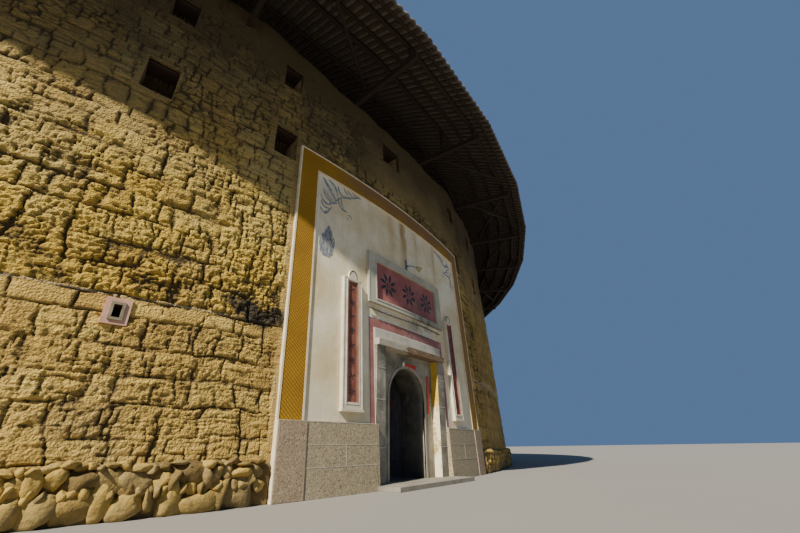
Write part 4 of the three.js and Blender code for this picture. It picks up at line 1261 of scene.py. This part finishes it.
# The flame scroll in the upper left corner, then the scroll in the upper right one: each stroke is its width
# and its places along the arc and up the wall, all in millimetres
ornament = {
    "strokes": (
        (17, -1744, 3785, -1703, 3721, -1632, 3645, -1561, 3559, -1519, 3486),
        (11, -1658, 3796, -1589, 3768, -1527, 3704, -1483, 3592),
        (10, -1489, 3775, -1476, 3703, -1430, 3650, -1372, 3642),
        (9, -1386, 3814, -1353, 3752, -1292, 3701), (9, -1311, 3806, -1271, 3753, -1205, 3733),
        (8, -1219, 3810, -1161, 3777, -1065, 3785),
        (12, -1525, 3483, -1472, 3565, -1372, 3642, -1266, 3670, -1134, 3762, -1030, 3787),
        (10, -1734, 3598, -1711, 3516, -1661, 3453, -1569, 3437),
        (10, -1773, 3479, -1742, 3407, -1676, 3368, -1605, 3382),
        (9, -1768, 3390, -1738, 3332, -1682, 3301, -1633, 3320),
        (9, -1771, 3280, -1741, 3227, -1696, 3217, -1649, 3283),
        (12, -1482, 3560, -1463, 3474, -1417, 3421, -1346, 3405, -1300, 3408),
        (9, -1415, 3576, -1425, 3497, -1371, 3456), (13, -1639, 3383, -1575, 3442, -1485, 3474),
        (9, -1704, 3199, -1660, 3228, -1621, 3312, -1582, 3364), (6, -1308, 3363, -1249, 3376, -1227, 3326),
        (5, -1323, 3321, -1277, 3288), (8, -1549, 3761, -1512, 3683, -1497, 3613),
        (8, -1689, 3566, -1644, 3495, -1567, 3471),
        (14, 1016, 3759, 1161, 3757, 1240, 3725, 1293, 3671, 1407, 3637),
        (10, 1222, 3762, 1340, 3735, 1436, 3716),
        (15, 1389, 3711, 1360, 3633, 1476, 3599, 1660, 3694, 1700, 3629, 1519, 3529),
        (11, 1348, 3440, 1482, 3428, 1643, 3450, 1692, 3376),
        (12, 1770, 3570, 1662, 3446, 1708, 3365, 1650, 3253, 1722, 3175, 1748, 3095),
        (9, 1614, 3732, 1524, 3619), (9, 1302, 3363, 1365, 3332), (10, 1392, 3436, 1557, 3526, 1626, 3496),
        (7, 1744, 3312, 1771, 3235)),
    "bolder": 1.45, "blossomLow": 2.60, "blossomHigh": 3.00, "blossomArc": -1.630, "blossomHalf": 0.108,
    "rows": 11, "perRow": 9, "petalWidth": 0.0085, "petalLength": 0.075,
}


def buildOrnament():
    ink, proud = Shape(), panel["plaster"]
    for wide, *numbers in ornament["strokes"]:
        brushStroke(ink, np.array(numbers).reshape(-1, 2) / 1000, ornament["bolder"] * (wide / 1000), proud)
    # Flame blossom under it: a pointed drop packed with short upward strokes
    low, high = ornament["blossomLow"], ornament["blossomHigh"]
    for row in range(ornament["rows"]):
        part = row / (ornament["rows"] - 1)
        reach = ornament["blossomHalf"] * sin(pi * (0.10 + 0.88 * part) ** 0.75)
        for number in range(ornament["perRow"]):
            place = -1 + 2 * (number + 0.6 * chance(221, row, number)) / ornament["perRow"]
            arc = ornament["blossomArc"] + reach * place + 0.03 * (part - 0.5)
            height = low + (high - low) * part * (1 - 0.12 * abs(place))
            turn = radians(90 - 38 * place + 24 * (chance(222, row, number) - 0.5))
            petal = curl((arc, height - 0.02), turn, ornament["petalLength"], 1.0 * place, 4)
            brushStroke(ink, petal, ornament["petalWidth"], proud)
    finish = mottledFinish(
        "faded ink", 0.92, (22.0, 5.0),
        ((0.30, 0.145, 0.165, 0.205), (0.52, 0.27, 0.285, 0.305), (0.74, 0.56, 0.53, 0.42)),
        (60.0, 3.0, 0.001, 0.4))
    addShape("corner_ornament", ink, finish)


# Name board and upright boards, with plain rosettes. A bead is its half width, its foot and head, its own
# width and how far it stands out.
boards = {
    "nameProud": 0.070, "frameProud": 0.100,
    "beads": ((0.935, (2.170, 2.935), 0.014, 0.004), (0.800, (2.226, 2.839), 0.020, 0.006)),
    "rosettes": (-0.50, 0.0, 0.50), "rosetteHeight": 2.532, "rosetteSize": 0.195,
    "sideArc": 1.225, "insetHeights": (0.877, 2.348), "insetHalf": 0.0735,
    "strip": (0.072, 0.092), "flowers": 8, "flowerSize": 0.052, "petals": (6, 4),
    "sideBeads": ((0.150, (0.802, 2.388), 0.012), (0.104, (0.853, 2.372), 0.013)),
    "sillHalf": 0.164, "sillHeights": (0.778, 0.804),
    "arch": (0.068, 0.105), "archFoot": 2.394, "archWidth": 0.0075,
}


def rosette(shape, arc, height, size, proud, petals=8):
    for number in range(petals):
        turn = 2 * pi * number / petals + pi / 8
        start = (arc + 0.30 * size * cos(turn), height + 0.30 * size * sin(turn))
        brushStroke(shape, curl(start, turn, 0.62 * size, 0.5), 0.13 * size, proud)
    heart = [(arc + 0.17 * size * cos(turn), height + 0.17 * size * sin(turn))
             for turn in np.linspace(0, 2 * pi, 11)]
    brushStroke(shape, heart, 0.05 * size, proud)


def buildBoards():
    # The dark patch on the board's lower right is a painted shadow cast down from the lamp
    red = mottledFinish(
        "faded red board", 0.85, (5.0, 6.0),
        ((0.3, 0.27, 0.085, 0.075), (0.55, 0.36, 0.125, 0.11), (0.8, 0.43, 0.20, 0.17)),
        (45.0, 3.0, 0.002, 0.5), (16.0, 5.0, 0.60, 0.8, 0.4, (0.50, 0.36, 0.29)),
        (0.34, 2.42, 0.36, 0.34, 1.0, (0.11, 0.075, 0.070)))
    setFinish(red, "name_board")
    # The dark patch on the frame's lower right is a painted shadow cast down from the lamp
    cement = mottledFinish(
        "grey cement moulding", 0.9, (4.0, 5.0), ((0.3, 0.37, 0.35, 0.275), (0.7, 0.54, 0.51, 0.40)),
        (30.0, 4.0, 0.003, 0.5), None, (0.42, 2.18, 0.55, 0.30, 1.2, (0.15, 0.145, 0.125)))
    setFinish(cement, "name_board_frame")
    # Mouldings on the frame: an outer bead and an inner lip
    beads, proud = Shape(), boards["frameProud"]
    for half, heights, width, rise in boards["beads"]:
        beads.border(0.0, half, heights, width, proud - 0.01, proud + rise)
    addShape("name_board_mouldings", beads, cement)
    marks = Shape()
    for arc in boards["rosettes"]:
        rosette(marks, arc, boards["rosetteHeight"], boards["rosetteSize"], boards["nameProud"])
    black = plainFinish("black lacquer", (0.014, 0.014, 0.016), (0.05, 0.048, 0.046), 20.0, 0.55)
    addShape("name_board_rosettes", marks, black)

    cream = plainFinish("cream board moulding", (0.56, 0.50, 0.36), (0.74, 0.69, 0.55), 7.0)
    setFinish(cream, "side_board_left", "side_board_right")
    insets, flowers, edges = Shape(), Shape(), Shape()
    plaster, proud = panel["plaster"], panel["plaster"] + 0.045
    low, high = boards["insetHeights"]
    inset, sill, (wide, tall) = boards["insetHalf"], boards["sillHalf"], boards["arch"]
    for side in sides.values():
        arc = side * boards["sideArc"]
        insets.slab((arc - inset, arc + inset), (low, high), plaster + 0.018, plaster + 0.0275)
        for way in (-1, 1):
            ends = sorted(arc + way * reach for reach in boards["strip"])
            insets.slab(ends, (low - 0.010, high + 0.010), plaster + 0.030, plaster + 0.0465)
        for number in range(boards["flowers"]):
            height = low + (high - low) * (number + 0.6) / (boards["flowers"] + 0.2)
            rosette(flowers, arc, height, boards["flowerSize"], plaster + 0.028, boards["petals"][number % 2])
        for half, heights, width in boards["sideBeads"]:
            edges.border(arc, half, heights, width, proud - 0.006, proud + 0.0045)
        edges.slab((arc - sill, arc + sill), boards["sillHeights"], plaster, proud + 0.010)
        arch = [(arc + wide * cos(turn), boards["archFoot"] + tall * sin(turn))
                for turn in np.linspace(0, pi, 13)]
        brushStroke(flowers, arch, boards["archWidth"], proud)
    brick = mottledFinish(
        "brick red inset", 0.88, (9.0, 6.0),
        ((0.3, 0.16, 0.055, 0.035), (0.6, 0.27, 0.10, 0.065), (0.85, 0.38, 0.21, 0.14)),
        (40.0, 3.0, 0.002, 0.5))
    addShape("side_board_insets", insets, brick)
    addShape("side_board_flowers", flowers, black)
    addShape("side_board_mouldings", edges, cream)


# Gateway: worn stone surround, arch rim, paper strips, paint, lintel, step and the two leaves. A scrap's
# corners are places across, up and out.
gateway = {
    "half": 0.81, "recessHalf": 0.635, "postFront": -15.0, "wallFront": -14.88,
    "archHalf": 0.412, "spring": 1.015, "sill": 0.04, "rimWidth": 0.034, "rimProud": 0.008, "rimSteps": 33,
    "joints": (0.42, 0.95, 1.33), "jointSize": (0.003, 0.007), "behind": -0.002,
    "paint": ((1, 0.045, 1.606), (-1, 0.9, 1.56)), "paintSteps": 12,
    "paperLift": 0.007, "paperSteps": 6, "papersOver": 3, "papersBeside": 6,
    "scrap": ((-0.112, 1.452, 0.006), (-0.060, 1.444, 0.008), (-0.054, 1.500, 0.007), (-0.098, 1.512, 0.009)),
}
leaves = {
    "pivotX": 0.47, "pivotY": -14.42, "reach": 0.467, "thick": 0.035,
    "low": 0.065, "high": 1.475, "planks": 4,
    "battens": (0.24, 0.74, 1.24), "batten": (0.055, 0.018), "plankGap": 0.006, "plankThick": 0.008,
    "nailWidths": (0.009, 0.004), "ringHeight": 0.80, "ringReach": 0.030, "ringIn": 0.06, "ringThick": 0.0045,
    "bossWidths": (0.013, 0.007), "bossHeight": 0.832,
    "scraps": ((0.16, 0.98, 0.05, 0.075), (0.27, 1.02, 0.03, 0.05)),
}


def stoneFinish():
    look = Finish("worn grey gate stone", 0.85)
    look.base(look.noise(3.0, 6.0),
              (0.34, 0.110, 0.100, 0.075), (0.50, 0.245, 0.225, 0.170), (0.66, 0.40, 0.370, 0.285))
    look.coat(look.noise(9.0, 6.0).level(0.56, 0.80, 0.0, 0.7), (0.56, 0.53, 0.44))
    look.coat(look.axis("Z").level(0.0, 0.45, 0.35, 0.0), (0.20, 0.17, 0.12))
    drips = look.noise(6.0, 3.0, look.stretch(2.0, 2.0, 0.2)).level(0.55, 0.75, 0.0, 0.5)
    look.coat(drips, (0.15, 0.14, 0.12))
    # Painted shade inside the passage: the stone turns near black behind the front of the arch wall
    inward = look.axis("Y").level(gateway["wallFront"] + 0.004, gateway["wallFront"] + 0.10, 0.0, 0.66)
    look.coat(inward, (0.022, 0.021, 0.020))
    return look.done(look.noise(12.0, 6.0) + look.noise(60.0, 3.0), 0.006, 0.7)


def lintelFinish():
    look = Finish("lintel timber and old render", 0.85)
    lines = look.noise(5.0, 5.0, look.stretch(1.4, 16.0, 16.0), 0.6, 0.5)
    look.base(lines, (0.3, 0.10, 0.060, 0.030), (0.65, 0.26, 0.17, 0.09), (0.85, 0.40, 0.30, 0.19))
    share = (look.axis("X") + look.noise(7.0, 4.0).level(0.3, 0.7, -0.16, 0.16)).level(-0.15, -0.07, 1.0, 0.0)
    look.coat(share, look.ramp(look.noise(6.0, 5.0), (0.3, 0.33, 0.30, 0.225), (0.7, 0.52, 0.47, 0.365)))
    return look.done(lines, 0.008, 0.8)


def paintFinish():
    # Yellow over worn white
    look = Finish("yellow and white reveal paint", 0.88)
    wear = look.noise(5.0, 5.0, look.stretch(1.0, 1.0, 0.35)).level(0.3, 0.7, -0.22, 0.22)
    look.base(look.noise(7.0, 6.0),
              (0.40, 0.46, 0.32, 0.13), (0.50, 0.82, 0.70, 0.44), (0.72, 0.92, 0.86, 0.68))
    yellow = look.ramp(look.noise(6.0, 5.0), (0.35, 0.58, 0.37, 0.035), (0.7, 0.76, 0.54, 0.075))
    look.coat((look.axis("Z") + wear).level(0.90, 1.02), yellow)
    return look.done(look.noise(30.0, 5.0), 0.003, 0.6)


def onFront(x, z, proud):
    # A place on the upright front of the arch wall
    return np.array([x, gateway["wallFront"] - proud, z])


def paperStrip(shape, corners):
    # A strip of paper between four corners, a little wavy, with its edges turned back to the wall
    points, faces, count, behind = [], [], gateway["paperSteps"], gateway["behind"]
    corners = [np.array(corner) for corner in corners]
    for k in range(count + 1):
        part = k / count
        low, high = corners[0] * (1 - part) + corners[1] * part, corners[3] * (1 - part) + corners[2] * part
        wave = gateway["paperLift"] + 0.003 * sin(5 * part + 1.0)
        points += [onFront(*place, lift) for lift in (wave, behind) for place in (low, high)]
    for a in range(0, 4 * count, 4):
        b = a + 4
        faces += [(a, b, b + 1, a + 1), (a + 2, a, b, b + 2), (a + 1, a + 3, b + 3, b + 1)]
    shape.add(points, faces)


def buildGateway():
    worn = stoneFinish()
    setFinish(worn, "gate_post_left", "gate_post_right", "gate_arch", "gate_threshold", "gate_pivot_sill")
    setFinish(lintelFinish(), "gate_lintel")
    headWood = woodFinish("pivot head wood", (0.05, 0.03, 0.02), (0.14, 0.09, 0.055), (2.0, 14, 14))
    setFinish(headWood, "gate_pivot_head")
    stepStone = plainFinish("worn step stone", (0.19, 0.172, 0.130), (0.31, 0.285, 0.225), 5.0, 0.85, 0.005)
    setFinish(stepStone, "gate_step")

    # Raised rim round the arch, from the sill on the left over the head to the sill on the right
    rim, half, steps = Shape(), gateway["archHalf"], gateway["rimSteps"]
    turns = [pi, *np.linspace(pi, 0, steps), 0]
    heights = [gateway["spring"] + half * sin(turn) for turn in turns]
    heights[0] = heights[-1] = gateway["sill"]
    wides = gateway["rimWidth"] * (1 + 0.10 * softNoise(np.arange(steps + 2) * 0.7, np.zeros(steps + 2), 121))
    out, points = gateway["rimProud"], []
    for turn, z, wide in zip(turns, heights, wides):
        points += [onFront((half + grow) * cos(turn), z + grow * sin(turn), proud)
                   for grow, proud in ((0.0, -0.02), (0.0, out), (wide, out), (wide, -0.001))]
    rim.add(points, gridFaces(steps + 2, 4)[:, [0, 3, 2, 1]].tolist())
    pale = plainFinish("pale rim stone", (0.25, 0.225, 0.165), (0.42, 0.385, 0.29), 6.0)
    addShape("arch_rim", rim, pale)

    # Courses of the gateway's stones, as fine joints
    joints, front = Shape(), gateway["postFront"]
    for side in sides.values():
        for height in gateway["joints"]:
            ends = mirrored(side, gateway["recessHalf"] + 0.002, gateway["half"] - 0.002)
            joints.bar(*((x, front - 0.001, height) for x in ends), *gateway["jointSize"])
    lime = plainFinish("pale joint lime", (0.45, 0.42, 0.34), (0.62, 0.58, 0.50), 18.0)
    addShape("gateway_joints", joints, lime)

    # Plain paper strips over and beside the arch
    papers, scrap = Shape(), Shape()
    for k in range(gateway["papersOver"]):
        x = -0.045 + 0.090 * k
        paperStrip(papers, [(x, 1.441 - 0.002 * k), (x + 0.082, 1.438), (x + 0.082, 1.494), (x, 1.497)])
    for k in range(gateway["papersBeside"]):
        x, z = 0.491 - 0.001 * k, 1.300 - 0.089 * k
        paperStrip(papers, [(x, z), (x + 0.056, z), (x + 0.058, z + 0.080), (x, z + 0.082)])
    corners = [*gateway["scrap"], *((x, z, gateway["behind"]) for x, z, _ in gateway["scrap"])]
    scrap.add([onFront(*corner) for corner in corners],
              [(0, 1, 2, 3), (1, 0, 4, 5), (2, 1, 5, 6), (3, 2, 6, 7), (0, 3, 7, 4)])
    white = plainFinish("white paper", (0.60, 0.58, 0.54), (0.80, 0.78, 0.74), 12.0, 0.8, 0.001)
    addShape("white_paper_scrap", scrap, white)
    red = plainFinish("red paper", (0.55, 0.030, 0.018), (0.72, 0.060, 0.035), 12.0, 0.7, 0.001)
    addShape("red_papers", papers, red)

    # Yellow and worn white paint on the whole right hand reveal, and a patch on the left one
    paint, steps = Shape(), gateway["paintSteps"]
    for side, low, high in gateway["paint"]:
        x = side * (gateway["recessHalf"] - 0.0015)
        for number in range(steps):
            foot, head = (low + (high - low) * (number + k) / steps for k in (0, 1))
            near, far = front + 0.003, gateway["wallFront"] - 0.001
            points = [(x, near, foot), (x, far, foot), (x, far, head), (x, near, head)]
            behind = [(x + side * 0.004, y, z) for _, y, z in points]
            paint.add(points + behind, [(0, 1, 2, 3), (4, 7, 6, 5), (0, 4, 5, 1), (3, 2, 6, 7)])
    addShape("reveal_paint", paint, paintFinish())


def leafFinish():
    look = Finish("dark gate planks", 0.72)
    lines = look.noise(4.0, 5.0, look.stretch(16, 16, 1.4), 0.62, 0.4)
    look.base(lines, (0.3, 0.075, 0.077, 0.088), (0.6, 0.165, 0.168, 0.185), (0.85, 0.27, 0.262, 0.25))
    look.coat(look.axis("Z").level(0.06, 0.5, 0.45, 0.0), (0.12, 0.10, 0.08))
    return look.done(lines, 0.004, 0.8)


def buildLeaves():
    wood = leafFinish()
    iron = plainFinish("dark iron", (0.018, 0.017, 0.016), (0.06, 0.045, 0.035), 14.0, 0.55, 0.002, 0.8)
    paper = plainFinish("torn red paper", (0.30, 0.030, 0.025), (0.48, 0.06, 0.045), 16.0, 0.8, 0.001)
    sideways = (1, 0, 0)
    for name, side in sides.items():
        body = f"{name}_leaf"
        setFinish(wood, f"gate_leaf_{name}")
        planks, metal, scraps = Shape(), Shape(), Shape()
        x, half = side * leaves["pivotX"], leaves["thick"] / 2
        first, last = leaves["pivotY"] + 0.030, leaves["pivotY"] + leaves["reach"] - 0.004
        width = (last - first) / leaves["planks"]
        for face in (-1, 1):
            centre = x + face * (half + 0.002)
            for number in range(leaves["planks"]):
                y = first + (number + 0.5) * width
                foot, head = (centre, y, leaves["low"] + 0.004), (centre, y, leaves["high"] - 0.004)
                planks.bar(foot, head, width - leaves["plankGap"], leaves["plankThick"], sideways)
        # Battens on the inner face, with their nails, a ring and paper scraps on the outer one
        inner, outer = x + side * (half + 0.014), x - side * (half + 0.008)
        for height in leaves["battens"]:
            planks.bar((inner, first, height), (inner, last, height), *leaves["batten"], sideways)
            for number in range(leaves["planks"] * 2):
                y = first + (number + 0.5) * width / 2
                metal.tube([(outer, y, height), (outer - side * 0.006, y, height)], leaves["nailWidths"], 8)
        ringY, reach = last - leaves["ringIn"], leaves["ringReach"]
        circle = [(outer - side * 0.010, ringY + reach * cos(turn), leaves["ringHeight"] + reach * sin(turn))
                  for turn in np.linspace(0, 2 * pi, 17)[:-1]]
        metal.tube(circle, leaves["ringThick"], 6, closed=True)
        boss = [(outer + side * out, ringY, leaves["bossHeight"]) for out in (0.004, -0.016)]
        metal.tube(boss, leaves["bossWidths"], 8)
        for y, z, wide, high in leaves["scraps"]:
            foot, head = ((outer + side * 0.001, first + y, height) for height in (z, z + high))
            scraps.bar(foot, head, wide, 0.003, sideways)
        addShape(f"leaf_planks_{name}", planks, wood, body)
        addShape(f"leaf_iron_{name}", metal, iron, body, smooth=True)
        addShape(f"leaf_scraps_{name}", scraps, paper, body)


# Pole under the name board, its ties and hooks, and the lamp over it. A path's places are offsets along the
# wall, up and out from the stucco.
pole = {
    "start": -0.95, "length": 1.78, "height": 2.085, "out": 0.030, "steps": 40, "knotEvery": 5,
    "width": 0.0075, "knotWidth": 0.0105, "hooks": (-0.85, -0.07, 0.75), "hookWidth": 0.0045,
    "hook": ((0, 0.013, -0.004), (0, 0.011, 0.045), (0, 0.027, 0.052)),
    "ties": 9, "firstTie": -0.79, "tieEvery": 0.19, "tieWidth": 0.0022,
}
lamp = {
    "arc": 0.10, "height": 3.06, "stub": ((-0.10, -0.03, -0.004), (-0.10, -0.03, 0.05)),
    "arm": ((-0.10, -0.03, 0.045), (-0.03, -0.02, 0.09), (0.04, -0.03, 0.11)),
    "shade": ((0.03, -0.015, 0.105), (0.055, -0.028, 0.115), (0.095, -0.050, 0.135), (0.110, -0.060, 0.142)),
    "shadeWidths": (0.014, 0.024, 0.045, 0.043), "plateArcs": (-0.118, -0.082), "plateHeights": (-0.12, 0.09),
}


def onPanel(arc, height, places):
    return [onWall(arc + along, height + rise, panel["plaster"] + out) for along, rise, out in places]


def buildTrims():
    cane, ties = Shape(), Shape()
    start, height = pole["start"], pole["height"]
    counts = range(pole["steps"] + 1)
    places = [(pole["length"] * k / pole["steps"], -0.012 * sin(k * 0.16) + 0.004 * sin(k * 1.9),
               pole["out"] + 0.004 * sin(k * 2.7)) for k in counts]
    widths = [pole["width"] if k % pole["knotEvery"] else pole["knotWidth"] for k in counts]
    cane.tube(onPanel(start, height, places), widths, 7)
    for arc in pole["hooks"]:
        cane.tube(onPanel(arc, height, pole["hook"]), pole["hookWidth"], 6)
    for k in range(pole["ties"]):
        hang = 0.05 + 0.03 * chance(131, k)
        places = ((0, 0.015, 0.030), (0.012, -hang / 2, 0.036), (0.004, -hang, 0.020))
        ties.tube(onPanel(pole["firstTie"] + pole["tieEvery"] * k, height, places), pole["tieWidth"], 5)
    bamboo = woodFinish("pole bamboo", (0.05, 0.04, 0.03), (0.15, 0.12, 0.085), (3.0, 20, 20))
    addShape("hanging_pole", cane, bamboo, smooth=True)
    string = plainFinish("old string", (0.10, 0.085, 0.06), (0.22, 0.19, 0.14), 30.0)
    addShape("pole_ties", ties, string)

    bracket, glass = Shape(), Shape()
    arc, height, proud = lamp["arc"], lamp["height"], panel["plaster"]
    bracket.tube(onPanel(arc, height, lamp["stub"]), 0.012, 8)
    arcs, heights = ([start + away for away in lamp[key]]
                     for start, key in ((arc, "plateArcs"), (height, "plateHeights")))
    bracket.slab(arcs, heights, proud - 0.002, proud + 0.010)
    bracket.tube(onPanel(arc, height, lamp["arm"]), 0.007, 7)
    blue = plainFinish("blue bracket paint", (0.07, 0.10, 0.22), (0.14, 0.17, 0.27), 15.0, 0.6)
    addShape("lamp_bracket", bracket, blue)
    glass.tube(onPanel(arc, height, lamp["shade"]), lamp["shadeWidths"], 14)
    shade = plainFinish("old lamp shade", (0.36, 0.30, 0.14), (0.56, 0.48, 0.26), 10.0, 0.5)
    addShape("lamp_shade", glass, shade, smooth=True)

    # Small raised stone frames round every vent, and pink lime round the first one on the left
    frames, patch = Shape(), Shape()
    inset, edge = vents["inset"], vents["edge"]
    shown = min(ventBoxes(), key=lambda box: abs(box[0] + radians(vents["turn"]) * ring["radius"]))
    for box in ventBoxes():
        arc, width, low, high = box
        depths = vents["shownDepths"] if box == shown else vents["otherDepths"]
        frames.border(arc, width / 2 - inset + edge, (low + inset - edge, high - inset + edge), edge, *depths)
    stone = plainFinish("vent stone", (0.16, 0.128, 0.078), (0.30, 0.25, 0.165), 14.0)
    addShape("vent_frames", frames, stone)
    pink = mottledFinish(
        "pink lime rim", 0.92, (8.0, 5.0),
        ((0.3, 0.50, 0.285, 0.190), (0.6, 0.62, 0.375, 0.270), (0.85, 0.54, 0.38, 0.22)),
        (30.0, 4.0, 0.005, 0.7))
    arc, width, low, high = shown
    half, middle, tall, thick = vents["limeHalf"], (low + high) / 2, vents["limeTall"], vents["limeThick"]
    patch.slab((arc - half, arc + half), (high, middle + tall), 0.0, thick)
    patch.slab((arc - half, arc + half), (middle - tall, low), 0.0, thick)
    for side in (-1, 1):
        patch.slab(sorted((arc + side * width / 2, arc + side * half)), (low, high), 0.0, thick)
    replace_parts(addShape("vent_lime", patch, pink), "vent_rim")
    setFinish(pink, "vent_rim")


# A round floor under the house, for the render only
floor = {"corners": 96, "reach": 240, "drop": -0.002, "colour": (0.27, 0.255, 0.225), "paler": 0.97}


def buildFloor():
    mesh = bpy.data.meshes.new("floor")
    turns = [2 * pi * k / floor["corners"] for k in range(floor["corners"])]
    points = [(floor["reach"] * cos(turn), floor["reach"] * sin(turn), floor["drop"]) for turn in turns]
    mesh.from_pydata(points, [], [tuple(range(len(points)))])
    look = Finish("pale floor", 0.9)
    colour = floor["colour"]
    look.base(look.noise(0.3), (0.3, *colour), (0.7, *(floor["paler"] * value for value in colour)))
    mesh.materials.append(look.done())
    stand("floor", mesh)


placeCamera()
placeLights()
buildFloor()
print("camera, light and floor")
buildEarthWalls()
print("earth walls")
buildWindows()
buildFooting()
print("windows and footing")
buildRoof()
finishTimbers()
buildGalleryTrim()
print("roof and gallery")
buildPanel()
buildOrnament()
buildBoards()
print("gate panel and boards")
buildGateway()
buildLeaves()
buildTrims()
print("gateway, leaves and trims")
